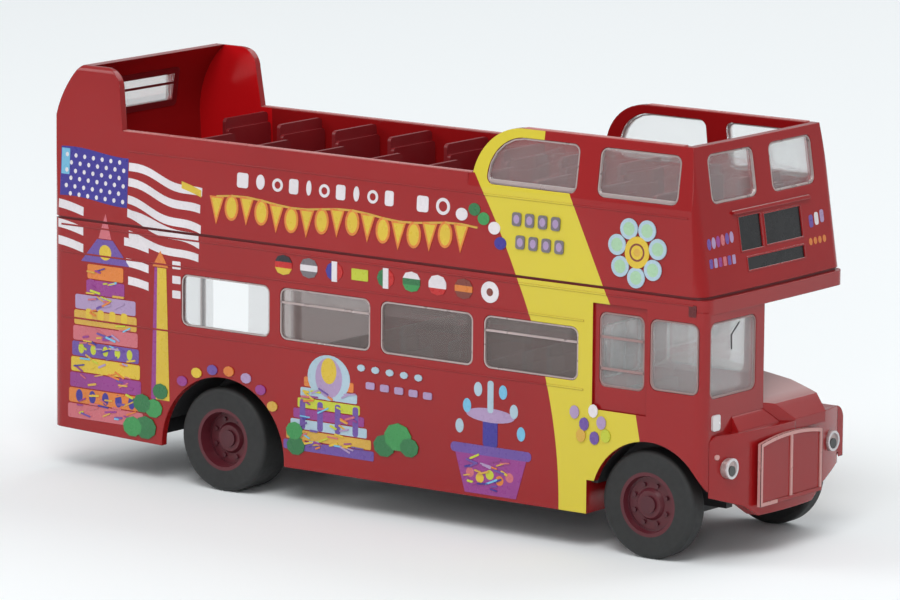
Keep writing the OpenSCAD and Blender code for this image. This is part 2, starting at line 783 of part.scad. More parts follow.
lower_row_x = rear_arch_x + rear_arch_r + 5.2;
lower_pitch = (bulkhead_x - 5.8 - lower_row_x) / (lower_rows - 1);
module lower_seats() color("dimgray") {
  for (n = [0:lower_rows - 1], s = [-1, 1])
    seat(lower_row_x + n * lower_pitch, floor_z, s, lower_aisle, half_w - wall - seat_gap);
}

// Stairs that rise forward from the platform on the driver's side
step_n = 7;
module staircase() color(maroon) {
  rise = (seam_lo - plate_t - platform_z - plate_t) / step_n;
  run = (stair_l - 0.8) / step_n;
  for (n = [0:step_n - 1])
    translate([stair_x + 0.3 + n * run, stair_y + 0.2, platform_z + plate_t])
      cube([(step_n - n) * run, stair_w - 0.6, (n + 1) * rise]);
}

// Floor of the cab with a box over the front wheel
cab_box_y = half_w - track_w / 2 + tyre_w + 0.4 + plate_t;
module cab_floor() color(dark) {
  intersection() {
    union() {
      difference() {
        upright(floor_z - plate_t, floor_z) square(far, center = true);
        wheel_space(-1, cab_box_y, front_arch_x, front_arch_z, front_arch_r);
      }
      difference() {
        along_y(-half_w, cab_box_y - half_w)
          translate([front_arch_x, front_arch_z]) circle(front_arch_r + plate_t);
        along_y(-half_w - 1, cab_box_y - plate_t - half_w)
          translate([front_arch_x, front_arch_z]) circle(front_arch_r);
      }
    }
    upright(floor_z - plate_t, deck_z) cab_plan(wall + fit);
    translate([bulkhead_x, -far / 2, 0]) cube(far);
  }
}

driver_y = cab_box_y - half_w + 0.4;
driver_w = cab_inner_y - wall - 0.9 - driver_y;
module driver_seat() color(dark) {
  translate([bulkhead_x + 1.2, driver_y, floor_z]) {
    cube([4, driver_w, seat_h - 0.4]);
    translate([-0.6, 0, 0]) cube([1, driver_w, back_h - 1.2]);
  }
}

// Steering wheel on a column that leans forward from the cab floor
steer_d = 4.6;
steer_z = cab_sill - 2;
steer_lean = 18;
module steering_wheel() color(dark) {
  column_l = (steer_z - floor_z) / cos(steer_lean);
  translate([cab_x - 4.6, driver_y + driver_w / 2, steer_z]) rotate([0, -steer_lean, 0]) {
    rotate_extrude() translate([steer_d / 2 - 0.25, 0]) circle(0.25, $fn = 24);
    for (a = [0, 120, 240]) rotate([0, 0, a]) translate([0, -0.2, -0.2]) cube([steer_d / 2 - 0.2, 0.4, 0.4]);
    translate([0, 0, 0.15 - column_l]) cylinder(d = 0.8, h = column_l - 0.15, $fn = 24);
  }
}

pole_d = 0.7;
module platform_pole() color(silver) {
  translate([rear_x + 1.6, half_w - 1.6, platform_z + plate_t])
    cylinder(d = pole_d, h = seam_lo - 2 * plate_t - platform_z, $fn = 24);
}

tail_lamp_y = 3.4 - half_w;
module tail_lamps() color("firebrick") {
  for (z = [floor_z, floor_z + 2.5, floor_z + 7.6])
    translate([rear_x, tail_lamp_y, z]) rotate([0, -90, 0]) cylinder(d = 1.6, h = lamp_out);
}

// Clear strip with raised panes for the lower windows on side s
module lower_glazing(s) color(glass) {
  y0 = s > 0 ? half_w - wall - strip_t : -half_w + pane_set;
  y1 = s > 0 ? half_w - pane_set : -half_w + wall + strip_t;
  for (n = [0:window_n - 1]) along_y(y0, y1) lower_window(n, pane_gap);
  s0 = s > 0 ? half_w - wall - strip_t : -half_w + wall;
  along_y(s0, s0 + strip_t)
    rounded(window_left(window_n - 1) - 0.7, sill_z - 0.7, window_x1 + 0.35, sill_z + window_h + 0.7, 0.6);
}
module lower_glazing_offside() lower_glazing(-1);
module lower_glazing_nearside() lower_glazing(1);

module cab_glazing() color(glass) {
  along_y(-half_w + pane_set, -half_w + wall) cab_side_window(pane_gap);
  along_y(-half_w + door_set + pane_set, -half_w + wall) door_pane(pane_gap);
  along_x(cab_x - wall, cab_x - pane_set) windscreen(pane_gap);
  along_y(cab_inner_y - wall, cab_inner_y - pane_set) inner_window(pane_gap);
}

module bulkhead_glazing() color(glass) {
  along_x(bulkhead_x - wall, bulkhead_x - pane_set) {
    bulkhead_window(pane_gap);
    driver_window(pane_gap);
  }
}

module upper_glazing(s) color(glass) {
  intersection() {
    difference() {
      upper_form(pane_set);
      upper_form(wall);
    }
    for (n = [0, 1])
      along_y(s > 0 ? half_w - 3 : -half_w - 1, s > 0 ? half_w + 1 : -half_w + 3) upper_window(n, pane_gap);
  }
}
module upper_glazing_offside() upper_glazing(-1);
module upper_glazing_nearside() upper_glazing(1);

module upper_glazing_front() color(glass) {
  intersection() {
    difference() {
      upper_form(pane_set);
      upper_form(wall);
    }
    for (s = [-1, 1]) along_x(canopy_x - 5, front_x) upper_front_window(s, pane_gap);
  }
}

module hood_glazing() color(glass) {
  intersection() {
    difference() {
      upper_form(pane_set);
      upper_form(wall);
    }
    along_x(rear_x - 1, rear_x + 6) hood_window(pane_gap);
  }
}

// An axle with its ends in blind holes of the rims
front_dish = 0.3;
rear_dish = 1.2;
hub_t = 0.6;
module axle(x, dish) color(silver) {
  translate([x, 0, axle_z]) rotate([90, 0, 0])
    cylinder(d = axle_d, h = track_w - 2 * (dish + hub_t), center = true);
}
module front_axle() axle(front_axle_x, front_dish);
module rear_axle() axle(rear_axle_x, rear_dish);

// A tyre with round shoulders, w wide, its outer face at y = 0
tyre_shoulder_r = 0.6;
module tyre(w) {
  rotate([-90, 0, 0]) rotate_extrude($fn = 96) difference() {
    rounded(rim_d / 2 - 1, 0, tyre_d / 2, w, tyre_shoulder_r);
    square([rim_d / 2, w]);
  }
}

// A rim with a dished outer face and a closed hub, w wide, its outer face at y = 0
hub_r = 1.5;
module rim(w, dish) {
  rotate([-90, 0, 0]) rotate_extrude($fn = 96) polygon([
    [0, dish], [hub_r, dish], [hub_r + 0.3, dish + 0.4], [rim_d / 2 - 0.6, dish + 0.4],
    [rim_d / 2 - 0.4, 0], [rim_d / 2, 0], [rim_d / 2, w], [axle_d / 2, w],
    [axle_d / 2, dish + hub_t], [0, dish + hub_t]
  ]);
}
module place_wheel(x, s) {
  translate([x, s * track_w / 2, axle_z]) mirror([0, s > 0 ? 1 : 0, 0]) children();
}
rear_w = 2 * tyre_w + 0.2;
module front_rim(s) color(maroon) place_wheel(front_axle_x, s) rim(tyre_w, front_dish);
module rear_rim(s) color(maroon) place_wheel(rear_axle_x, s) rim(rear_w, rear_dish);
module front_tyre(s) color(dark) place_wheel(front_axle_x, s) tyre(tyre_w);
module rear_tyre(s) color(dark) place_wheel(rear_axle_x, s) tyre(rear_w);
module front_rim_offside() front_rim(-1);
module front_rim_nearside() front_rim(1);
module rear_rim_offside() rear_rim(-1);
module rear_rim_nearside() rear_rim(1);
module front_tyre_offside() front_tyre(-1);
module front_tyre_nearside() front_tyre(1);
module rear_tyre_offside() rear_tyre(-1);
module rear_tyre_nearside() rear_tyre(1);

lower_body();
cab_door();
deck_plate();
upper_body();
saloon_floor();
rear_platform();
chassis();
bonnet();
nose_panel();
nearside_wing();
radiator();
radiator_frame();
headlamp_offside();
headlamp_nearside();
destination_box();
upper_seats();
lower_seats();
staircase();
cab_floor();
driver_seat();
steering_wheel();
platform_pole();
tail_lamps();
lower_glazing_offside();
lower_glazing_nearside();
cab_glazing();
bulkhead_glazing();
upper_glazing_offside();
upper_glazing_nearside();
upper_glazing_front();
hood_glazing();
front_axle();
rear_axle();
front_rim_offside();
front_rim_nearside();
rear_rim_offside();
rear_rim_nearside();
front_tyre_offside();
front_tyre_nearside();
rear_tyre_offside();
rear_tyre_nearside();
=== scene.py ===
import math
import random

import bmesh
import bpy
from mathutils import Matrix, Vector


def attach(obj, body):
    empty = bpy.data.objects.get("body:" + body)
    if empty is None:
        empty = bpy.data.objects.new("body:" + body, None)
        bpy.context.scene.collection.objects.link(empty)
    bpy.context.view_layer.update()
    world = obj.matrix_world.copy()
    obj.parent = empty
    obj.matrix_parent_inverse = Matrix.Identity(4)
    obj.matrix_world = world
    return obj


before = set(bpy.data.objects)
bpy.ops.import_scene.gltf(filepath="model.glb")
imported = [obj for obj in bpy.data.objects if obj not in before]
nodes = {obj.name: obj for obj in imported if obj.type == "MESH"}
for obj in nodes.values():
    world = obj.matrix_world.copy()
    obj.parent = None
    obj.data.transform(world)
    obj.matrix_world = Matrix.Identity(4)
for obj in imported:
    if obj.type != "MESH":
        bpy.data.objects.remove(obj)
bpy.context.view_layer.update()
mm = 0.001
coach = "coach"
print("frame loaded:", len(nodes), "pieces")

# Camera, at the angle the model was photographed from
cameraSet = {
    "azimuth": 36.19,
    "elevation": 9.84,
    "roll": 0.491,
    "lens": 255.4,
    "place": (422.55, -576.98, 146.96),
}


def makeCamera():
    a, e, r = (math.radians(cameraSet[k]) for k in ("azimuth", "elevation", "roll"))
    back = Vector((math.sin(a) * math.cos(e), -math.cos(a) * math.cos(e), math.sin(e)))
    right = Vector((math.cos(a), math.sin(a), 0))
    up = back.cross(right)
    rolledRight = right * math.cos(r) + up * math.sin(r)
    rolledUp = up * math.cos(r) - right * math.sin(r)
    data = bpy.data.cameras.new("photoCamera")
    data.lens = cameraSet["lens"]
    data.sensor_width = 36
    data.clip_start = 0.01
    camera = bpy.data.objects.new("photoCamera", data)
    bpy.context.collection.objects.link(camera)
    turn = Matrix((rolledRight, rolledUp, back)).transposed().to_4x4()
    camera.matrix_world = Matrix.Translation(Vector(cameraSet["place"]) * mm) @ turn
    bpy.context.scene.camera = camera


makeCamera()
print("camera placed")

# Body lines that the finish and the fitted parts follow, in mm
bodyLines = {
    "halfWidth": 14.0,
    "deckJoint": 29.6,
    "jointGap": 0.3,
    "sideLean": math.radians(3.2),
    "windowLean": math.radians(9.0),
    "windowBandX": 12.55,
    "windowBandZ": 39.0,
    "rearX": -46.8,
    "frontX": 44.55,
    "frontLean": math.radians(8.8),
    "bowRadius": 400.0,
    "bulkheadX": 29.4,
    "cabX": 44.7,
    "noseX": 46.65,
    "noseRadius": 43.4,
    "frontAxleX": 37.0,
    "rearAxleX": -22.0,
    "axleZ": 6.05,
    "trackHalf": 13.2,
}


def sideY(x, z):
    # Outer face of a side wall: upright below the joint, leaning in above it,
    # and more so beside the upper windows
    b = bodyLines
    low = min(z, b["windowBandZ"]) if x > b["windowBandX"] else z
    sideIn = max(0.0, low - b["deckJoint"]) * math.tan(b["sideLean"])
    windowIn = max(0.0, z - low) * math.tan(b["windowLean"])
    return b["halfWidth"] - sideIn - windowIn


def frontFaceX(y, z):
    # Outer face of the upper deck's front at y and height z
    b = bodyLines
    bow = b["bowRadius"] - math.sqrt(b["bowRadius"] ** 2 - y * y)
    return b["frontX"] - bow - (z - b["deckJoint"]) * math.tan(b["frontLean"])


# Node helpers for the finishes
class Finish:
    def __init__(self, name):
        self.material = bpy.data.materials.new(name)
        self.material.use_nodes = True
        self.tree = self.material.node_tree
        self.shader = self.tree.nodes["Principled BSDF"]
        self.place = self.add("ShaderNodeTexCoord").outputs["Object"]

    def add(self, kind, **values):
        node = self.tree.nodes.new(kind)
        for key, value in values.items():
            setattr(node, key, value)
        return node

    def link(self, a, b):
        self.tree.links.new(a, b)

    def put(self, socket, value):
        if hasattr(value, "is_output"):
            self.link(value, socket)
        else:
            socket.default_value = value

    def math(self, kind, a, b=0.0, c=0.0):
        node = self.add("ShaderNodeMath", operation=kind)
        for socket, value in zip(node.inputs, (a, b, c)):
            self.put(socket, value)
        return node.outputs[0]

    def mix(self, share, a, b):
        node = self.add("ShaderNodeMix", data_type="RGBA")
        self.put(node.inputs["Factor"], share)
        self.put(node.inputs["A"], a)
        self.put(node.inputs["B"], b)
        return node.outputs["Result"]

    def noise(self, scale, detail=3.0, rough=0.5):
        node = self.add("ShaderNodeTexNoise")
        self.put(node.inputs["Vector"], self.place)
        self.put(node.inputs["Scale"], scale)
        self.put(node.inputs["Detail"], detail)
        self.put(node.inputs["Roughness"], rough)
        return node.outputs["Fac"]

    def span(self, value, low, high, outLow=0.0, outHigh=1.0):
        node = self.add("ShaderNodeMapRange")
        for socket, number in zip(node.inputs, (value, low, high, outLow, outHigh)):
            self.put(socket, number)
        return node.outputs["Result"]

    def bump(self, height, distance, strength=1.0, edge=0.0):
        node = self.add("ShaderNodeBump")
        if edge:
            soft = self.add("ShaderNodeBevel", samples=4)
            self.put(soft.inputs["Radius"], edge)
            self.link(soft.outputs[0], node.inputs["Normal"])
        self.put(node.inputs["Height"], height)
        self.put(node.inputs["Distance"], distance)
        self.put(node.inputs["Strength"], strength)
        self.link(node.outputs["Normal"], self.shader.inputs["Normal"])

    def set(self, **values):
        names = {
            "color": "Base Color", "rough": "Roughness", "metal": "Metallic",
            "clear": "Transmission Weight", "ior": "IOR", "coat": "Coat Weight",
            "coatRough": "Coat Roughness", "alpha": "Alpha", "glow": "Emission Color",
            "glowPower": "Emission Strength", "level": "Specular IOR Level",
        }
        for key, value in values.items():
            self.put(self.shader.inputs[names[key]], value)
        return self


def rgb(r, g, b):
    # An sRGB colour, written as 0 to 255, as Blender's linear colour
    def linear(v):
        v /= 255
        return v / 12.92 if v <= 0.04045 else ((v + 0.055) / 1.055) ** 2.4
    return (linear(r), linear(g), linear(b), 1.0)


paintColors = {
    "red": rgb(157, 24, 26),
    "redDeep": rgb(148, 19, 22),
    # the bare plastic's red, made brighter to paint the light that shines through the thin plastic of the
    # hood
    "inner": rgb(212, 22, 28),
    # pale pink that paints the highlight on the bonnet's lit top
    "bonnetPaintedHighlight": rgb(196, 158, 156),
    "yellow": rgb(214, 196, 58),
}
bandSet = {  # edges of the yellow band on the sides, and how far forward the brighter inner red, painted light through the thin plastic, goes, in mm
    "sideFrom": 11.6,
    "leftFoot": 25.7, "leftBend": 0.0095, "leftFootZ": 4.4,
    "rightTop": 26.35, "rightTopZ": 39.2, "rightSlope": 0.52,
    "doorX": 30.15, "doorTop": 27.45, "doorSill": 18.4,
    "underDoorX": 35.35, "underDoorSlope": 0.2,
    "archStart": 5.0, "archEnd": 22.25, "archSill": 39.4, "archFoot": 40.45,
    "litInnerTo": -35.0,
}


def stepUp(f, value, edge, soft=0.02):
    return f.span(value, edge - soft, edge + soft)


def bodyPaint(name, banded):
    f = Finish(name)
    speck = f.noise(900, 2)
    cloud = f.noise(45, 2)
    red = f.mix(f.span(cloud, 0.3, 0.7), paintColors["red"], paintColors["redDeep"])
    facing = f.add("ShaderNodeNewGeometry")
    normal = f.add("ShaderNodeSeparateXYZ")
    f.link(facing.outputs["Normal"], normal.inputs[0])
    split = f.add("ShaderNodeSeparateXYZ")
    f.link(f.place, split.inputs[0])
    color = red
    if not banded:
        # Upward faces above 16.5 mm take a pale pink: a painted highlight on the bonnet's top and on other
        # lit tops
        highlightOnTop = f.math("MULTIPLY", stepUp(f, normal.outputs["Z"], 0.72, 0.2),
                       stepUp(f, split.outputs["Z"], 0.0165, 0.0005))
        color = f.mix(highlightOnTop, red, paintColors["bonnetPaintedHighlight"])
    if banded:
        b = bandSet
        x = f.math("MULTIPLY", split.outputs["X"], 1000.0)
        y = f.math("MULTIPLY", split.outputs["Y"], 1000.0)
        z = f.math("MULTIPLY", split.outputs["Z"], 1000.0)
        outward = f.math("MULTIPLY", normal.outputs["Y"], f.math("SIGN", y))
        onSide = f.math("MULTIPLY", stepUp(f, outward, 0.5),
                        stepUp(f, f.math("ABSOLUTE", y), b["sideFrom"]))
        rise = f.math("SUBTRACT", z, b["leftFootZ"])
        left = f.math("SUBTRACT", b["leftFoot"],
                      f.math("MULTIPLY", f.math("MULTIPLY", rise, rise), b["leftBend"]))
        upperRight = f.math("ADD", f.math("MULTIPLY", f.math("SUBTRACT", b["rightTopZ"], z),
                                          b["rightSlope"]), b["rightTop"])
        lowerRight = f.math("ADD", f.math("MULTIPLY", f.math("SUBTRACT", b["doorSill"], z),
                                          b["underDoorSlope"]), b["underDoorX"])
        aboveDoor = stepUp(f, z, b["doorTop"])
        aboveSill = stepUp(f, z, b["doorSill"])
        aboveWindow = stepUp(f, z, b["archSill"])
        right = f.math("ADD", f.math("MULTIPLY", aboveDoor, upperRight),
                       f.math("MULTIPLY", f.math("SUBTRACT", 1.0, aboveDoor),
                              f.math("ADD", f.math("MULTIPLY", aboveSill, b["doorX"]),
                                     f.math("MULTIPLY", f.math("SUBTRACT", 1.0, aboveSill), lowerRight))))
        inBand = f.math("MULTIPLY", f.math("GREATER_THAN", x, left), f.math("LESS_THAN", x, right))
        inArc = f.math("MULTIPLY", f.math("LESS_THAN", x, b["archEnd"]),
                       f.math("GREATER_THAN", x, b["archStart"]))
        upperArc = f.math("MULTIPLY", inArc, f.math("GREATER_THAN", z, b["archFoot"]))
        sillArc = f.math("MULTIPLY", aboveWindow,
                         f.math("MULTIPLY", inArc, f.math("GREATER_THAN", x, left)))
        mask = f.math("ADD", f.math("MULTIPLY", inBand, f.math("SUBTRACT", 1.0, aboveWindow)),
                      f.math("MAXIMUM", upperArc, sillArc))
        mask = f.math("MINIMUM", mask, 1.0)
        # Inward faces at the rear, inside the hood, take the brighter inner red: painted light through the
        # plastic, on the bare plastic's own red
        inside = f.math("MULTIPLY", f.math("SUBTRACT", 1.0, stepUp(f, outward, -0.5, 0.1)),
                        f.math("LESS_THAN", x, b["litInnerTo"]))
        color = f.mix(f.math("MULTIPLY", onSide, mask), f.mix(inside, red, paintColors["inner"]),
                      paintColors["yellow"])
    f.set(color=color, rough=f.span(speck, 0.3, 0.7, 0.13, 0.19), level=0.42)
    f.bump(speck, 0.000006, 0.2, edge=0.00016)
    return f.material


def plastic(name, color, color2, rough, grain=600, bump=0.00002, metal=0.0):
    f = Finish(name)
    n = f.noise(grain, 3)
    f.set(color=f.mix(f.span(f.noise(grain / 8, 2), 0.3, 0.7), color, color2),
          rough=f.span(n, 0.3, 0.7, rough - 0.05, rough + 0.07), metal=metal)
    f.bump(n, bump, 0.4)
    return f.material


def clearPlastic(name, tint, clearness=1.0, alpha=0.45, clearBehind=None):
    # A pane, clearer behind a place along the bus where one is given
    f = Finish(name)
    haze = f.noise(300, 2)
    if clearBehind is not None:
        split = f.add("ShaderNodeSeparateXYZ")
        f.link(f.place, split.inputs[0])
        behind = f.math("LESS_THAN", split.outputs["X"], clearBehind)
        tint = f.mix(behind, tint, rgb(248, 248, 248))
        clearness = f.span(behind, 0.0, 1.0, clearness, 1.0)
        alpha = f.span(behind, 0.0, 1.0, alpha, 0.3)
    f.set(color=tint, clear=clearness, ior=1.3, rough=f.span(haze, 0.3, 0.7, 0.0, 0.03), alpha=alpha)
    return f.material


finishes = {
    "paint": bodyPaint("printedBody", True),
    # red with a painted highlight on its upward faces above the bonnet's height
    "plainRed": bodyPaint("plainBody", False),
    "maroon": plastic("deckMaroon", rgb(120, 22, 28), rgb(104, 18, 24), 0.45),
    "seatRed": plastic("seatRed", rgb(132, 26, 32), rgb(116, 22, 28), 0.42),
    "seatGrey": plastic("seatGrey", rgb(126, 126, 128), rgb(112, 112, 114), 0.5),
    "black": plastic("frameBlack", rgb(46, 46, 48), rgb(38, 38, 40), 0.5),
    "dull": plastic("dullTrim", rgb(164, 132, 130), rgb(150, 118, 116), 0.35, metal=0.2),
    "silver": plastic("silverTrim", rgb(196, 178, 176), rgb(180, 162, 160), 0.3, metal=0.5),
    "rose": plastic("roseSilver", rgb(214, 160, 156), rgb(200, 146, 142), 0.3, metal=0.2),
    "lampWhite": plastic("lampSilver", rgb(222, 218, 220), rgb(208, 204, 206), 0.22, metal=0.3),
    "lens": plastic("lampLens", rgb(70, 72, 70), rgb(56, 58, 58), 0.12),
    # pale pink for the strips that paint the highlight on the lit top edges of the walls
    "edge": plastic("litEdge", rgb(206, 128, 124), rgb(192, 112, 110), 0.25),
    "plate": plastic("blankPlate", rgb(214, 212, 206), rgb(204, 202, 196), 0.35),
    "nut": plastic("wheelNut", rgb(84, 28, 38), rgb(72, 24, 34), 0.35),
    "blind": plastic("blindBlack", rgb(26, 26, 28), rgb(22, 22, 24), 0.25),
    "tail": plastic("tailRed", rgb(190, 20, 24), rgb(170, 16, 20), 0.2),
    "clear": clearPlastic("clearPane", rgb(245, 248, 248), 0.8),
    "cabClear": clearPlastic("cabPane", rgb(245, 248, 248), 0.66),
    "smoky": clearPlastic("saloonPane", rgb(182, 168, 165), 0.72, 0.72, -0.0141),
    "steel": plastic("axleSteel", rgb(170, 170, 172), rgb(150, 150, 154), 0.3, metal=1.0),
    "rim": plastic("rimMaroon", rgb(94, 30, 40), rgb(82, 26, 36), 0.4),
    "tyre": plastic("tyreBlack", rgb(41, 42, 42), rgb(34, 35, 35), 0.62, grain=1500, bump=0.00003),
}
print("finishes made:", len(finishes))

nodeFinish = {
    "paint": ["lower_body", "upper_body"],
    "plainRed": ["cab_door", "bonnet", "nose_panel", "nearside_wing", "radiator"],
    "maroon": ["deck_plate", "staircase"],
    "seatRed": ["upper_seats"],
    "seatGrey": ["lower_seats", "driver_seat"],
    "black": ["saloon_floor", "rear_platform", "chassis", "steering_wheel", "cab_floor"],
    "rose": ["radiator_frame"],
    "silver": ["headlamp_offside", "headlamp_nearside", "platform_pole"],
    "blind": ["destination_box"],
    "tail": ["tail_lamps"],
    "clear": [n for n in nodes if "glazing" in n and "lower" not in n and "cab" not in n],
    "cabClear": ["cab_glazing"],
    "smoky": [n for n in nodes if "lower_glazing" in n],
    "steel": ["front_axle", "rear_axle"],
    "rim": [n for n in nodes if "_rim_" in n],
    "tyre": [n for n in nodes if "_tyre_" in n],
}


def dressNodes():
    for finish, names in nodeFinish.items():
        for name in names:
            slots = nodes[name].data.materials
            slots.clear()
            slots.append(finishes[finish])


dressNodes()
print("construction dressed")

# Printed colours of the livery
inks = {
    name: plastic("ink" + name.capitalize(), rgb(*color), rgb(*[int(v * 0.94) for v in color]), 0.28,
                  grain=1200, bump=0.000004)
    for name, color in {
        "blue": (62, 52, 148), "sky": (120, 190, 225), "white": (232, 226, 230),
        "yellow": (222, 190, 60), "gold": (214, 170, 70), "lime": (196, 204, 58),
        "orange": (222, 128, 56), "pink": (206, 110, 120), "purple": (150, 60, 140),
        "violet": (110, 80, 160), "mist": (176, 200, 214), "lilac": (176, 150, 190),
        "green": (62, 150, 82), "pine": (48, 118, 70), "grey": (120, 112, 118),
        "black": (34, 32, 40), "red": (196, 34, 34), "brown": (128, 60, 50),
        "mint": (168, 206, 170), "wine": (92, 10, 16),
    }.items()
}


# Mesh helpers, in mm until newPiece scales them
def newPiece(name, bm, finish, body=coach, smooth=35):
    bmesh.ops.recalc_face_normals(bm, faces=bm.faces)
    bmesh.ops.scale(bm, vec=(mm, mm, mm), verts=bm.verts)
    mesh = bpy.data.meshes.new(name)
    bm.to_mesh(mesh)
    bm.free()
    mesh.materials.append(finish)
    for face in mesh.polygons:
        face.use_smooth = True
    mesh.set_sharp_from_angle(angle=math.radians(smooth))
    piece = bpy.data.objects.new(name, mesh)
    bpy.context.collection.objects.link(piece)
    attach(piece, body)
    return piece


def merge(bm, part):
    mesh = bpy.data.meshes.new("part")
    part.to_mesh(mesh)
    part.free()
    bm.from_mesh(mesh)
    bpy.data.meshes.remove(mesh)


def flatPlate(x0, z0, x1, z1, radius=0.0, steps=4):
    # A flat plate in the XZ plane with rounded corners
    bm = bmesh.new()
    verts = bmesh.ops.create_grid(bm, x_segments=1, y_segments=1, size=1.0)["verts"]
    low = min(v.co.x for v in verts)
    bmesh.ops.scale(bm, vec=((x1 - x0) / (-2 * low), (z1 - z0) / (-2 * low), 1), verts=verts)
    bmesh.ops.rotate(bm, cent=(0, 0, 0), matrix=Matrix.Rotation(math.radians(90), 3, "X"), verts=verts)
    bmesh.ops.translate(bm, vec=((x0 + x1) / 2, 0, (z0 + z1) / 2), verts=verts)
    if radius:
        bmesh.ops.bevel(bm, geom=verts, offset=radius, segments=steps, profile=0.5, affect="VERTICES",
                        material=-1)
    return bm


def flatDisc(x, z, rx, rz=None, steps=24, turn=0.0):
    bm = bmesh.new()
    verts = bmesh.ops.create_circle(bm, cap_ends=True, segments=steps, radius=1.0)["verts"]
    bmesh.ops.rotate(bm, cent=(0, 0, 0), matrix=Matrix.Rotation(math.radians(turn), 3, "Z"), verts=verts)
    bmesh.ops.scale(bm, vec=(rx, rz or rx, 1), verts=verts)
    bmesh.ops.rotate(bm, cent=(0, 0, 0), matrix=Matrix.Rotation(math.radians(90), 3, "X"), verts=verts)
    bmesh.ops.translate(bm, vec=(x, 0, z), verts=verts)
    return bm


def flatRing(x, z, r, width, steps=28):
    bm = flatDisc(x, z, r, steps=steps)
    hollow(bm, width)
    return bm


def flatShape(points):
    bm = bmesh.new()
    bm.faces.new([bm.verts.new((x, 0, z)) for x, z in points])
    return bm


def flatBar(x0, z0, x1, z1, width):
    # A bar with round ends from one point to another
    length = math.hypot(x1 - x0, z1 - z0)
    bm = flatPlate(-length / 2 - width * 0.4, -width / 2, length / 2 + width * 0.4, width / 2,
                   width * 0.42, 4)
    bmesh.ops.rotate(bm, cent=(0, 0, 0), matrix=Matrix.Rotation(-math.atan2(z1 - z0, x1 - x0), 3, "Y"),
                     verts=bm.verts)
    bmesh.ops.translate(bm, vec=((x0 + x1) / 2, 0, (z0 + z1) / 2), verts=bm.verts)
    return bm


def flatWave(x0, x1, z, height, slope, swing, length, phase=0.0, steps=16):
    # A wavy stripe that falls along X
    bm = bmesh.new()
    verts = bmesh.ops.create_grid(bm, x_segments=steps, y_segments=1, size=1.0)["verts"]
    for v in verts:
        x = x0 + (v.co.x + 1) / 2 * (x1 - x0)
        wave = swing * math.sin(phase + (x - x0) / length * 2 * math.pi)
        v.co = (x, 0, z + v.co.y * height / 2 - slope * (x - x0) + wave)
    return bm


def hollow(bm, width):
    # Leaves only a rim of that width
    inner = next(iter(bm.faces))
    bmesh.ops.inset_region(bm, faces=[inner], thickness=width, use_boundary=True, use_even_offset=True)
    bmesh.ops.delete(bm, geom=[inner], context="FACES_ONLY")


def thicken(bm, direction):
    # Turns flat faces into closed slabs that reach along direction
    made = bmesh.ops.extrude_face_region(bm, geom=bm.faces[:])["geom"]
    bmesh.ops.translate(bm, vec=direction, verts=[g for g in made if isinstance(g, bmesh.types.BMVert)])


def ontoSide(bm, side, lift, depth=0.12):
    # Lays flat faces on a side wall, cut where the joint between the decks is open
    b = bodyLines
    low, high = b["deckJoint"] - b["jointGap"] / 2, b["deckJoint"] + b["jointGap"] / 2
    for z in (low, high):
        bmesh.ops.bisect_plane(bm, geom=bm.verts[:] + bm.edges[:] + bm.faces[:], plane_co=(0, 0, z),
                               plane_no=(0, 0, 1))
    gone = [f for f in bm.faces if low < f.calc_center_median().z < high]
    bmesh.ops.delete(bm, geom=gone, context="FACES")
    close = 1e-4
    atLow = [e for e in bm.edges if abs(e.verts[0].co.z - low) + abs(e.verts[1].co.z - low) < close]
    bmesh.ops.split_edges(bm, edges=atLow)
    for v in bm.verts:
        v.co.y = side * (sideY(v.co.x, v.co.z) + lift)
    thicken(bm, (0, -side * depth, 0))


def ontoFront(bm, lift, depth=0.12):
    # Turns flat faces to the upper deck's front, which leans and bows, drawn with X as the side position
    for v in bm.verts:
        v.co = (frontFaceX(v.co.x, v.co.z) + lift, v.co.x, v.co.z)
    thicken(bm, (-depth, 0, 0))


def pipe(points, radius, steps=12):
    # A round bar through the points
    bm = bmesh.new()
    points = [Vector(p) for p in points]
    verts = bmesh.ops.create_circle(bm, cap_ends=True, segments=steps, radius=radius)["verts"]
    ahead = (points[1] - points[0]).normalized()
    turn = ahead.to_track_quat("Z", "Y")
    bmesh.ops.rotate(bm, cent=(0, 0, 0), matrix=turn.to_matrix(), verts=verts)
    bmesh.ops.translate(bm, vec=points[0], verts=verts)
    edges = [e for e in bm.edges if len(e.link_faces) == 1]
    for i in range(1, len(points)):
        made = bmesh.ops.extrude_edge_only(bm, edges=edges)["geom"]
        ring = [g for g in made if isinstance(g, bmesh.types.BMVert)]
        edges = [g for g in made if isinstance(g, bmesh.types.BMEdge) and all(v in ring for v in g.verts)]
        bmesh.ops.translate(bm, vec=points[i] - points[i - 1], verts=ring)
        after = (points[min(i + 1, len(points) - 1)] - points[i - (i + 1 == len(points))]).normalized()
        before = (points[i] - points[i - 1]).normalized()
        middle = (after + before).normalized() if i + 1 < len(points) else before
        bend = ahead.rotation_difference(middle)
        bmesh.ops.rotate(bm, cent=points[i], matrix=bend.to_matrix(), verts=ring)
        ahead = middle
    bmesh.ops.contextual_create(bm, geom=edges)
    return bm


print("helpers ready")

# The livery on each side: colour, then shapes, from the lowest layer up
layerSet = {"first": 0.012, "step": 0.00035}  # how far the lowest print stands out, then each next one
drop = 0.75  # how far the printed layout stands ahead of its own zero, in mm


def shape(kind, *values):
    makers = {"disc": flatDisc, "plate": flatPlate, "bar": flatBar, "ring": flatRing, "wave": flatWave}
    return flatShape(values[0]) if kind == "poly" else makers[kind](*values)


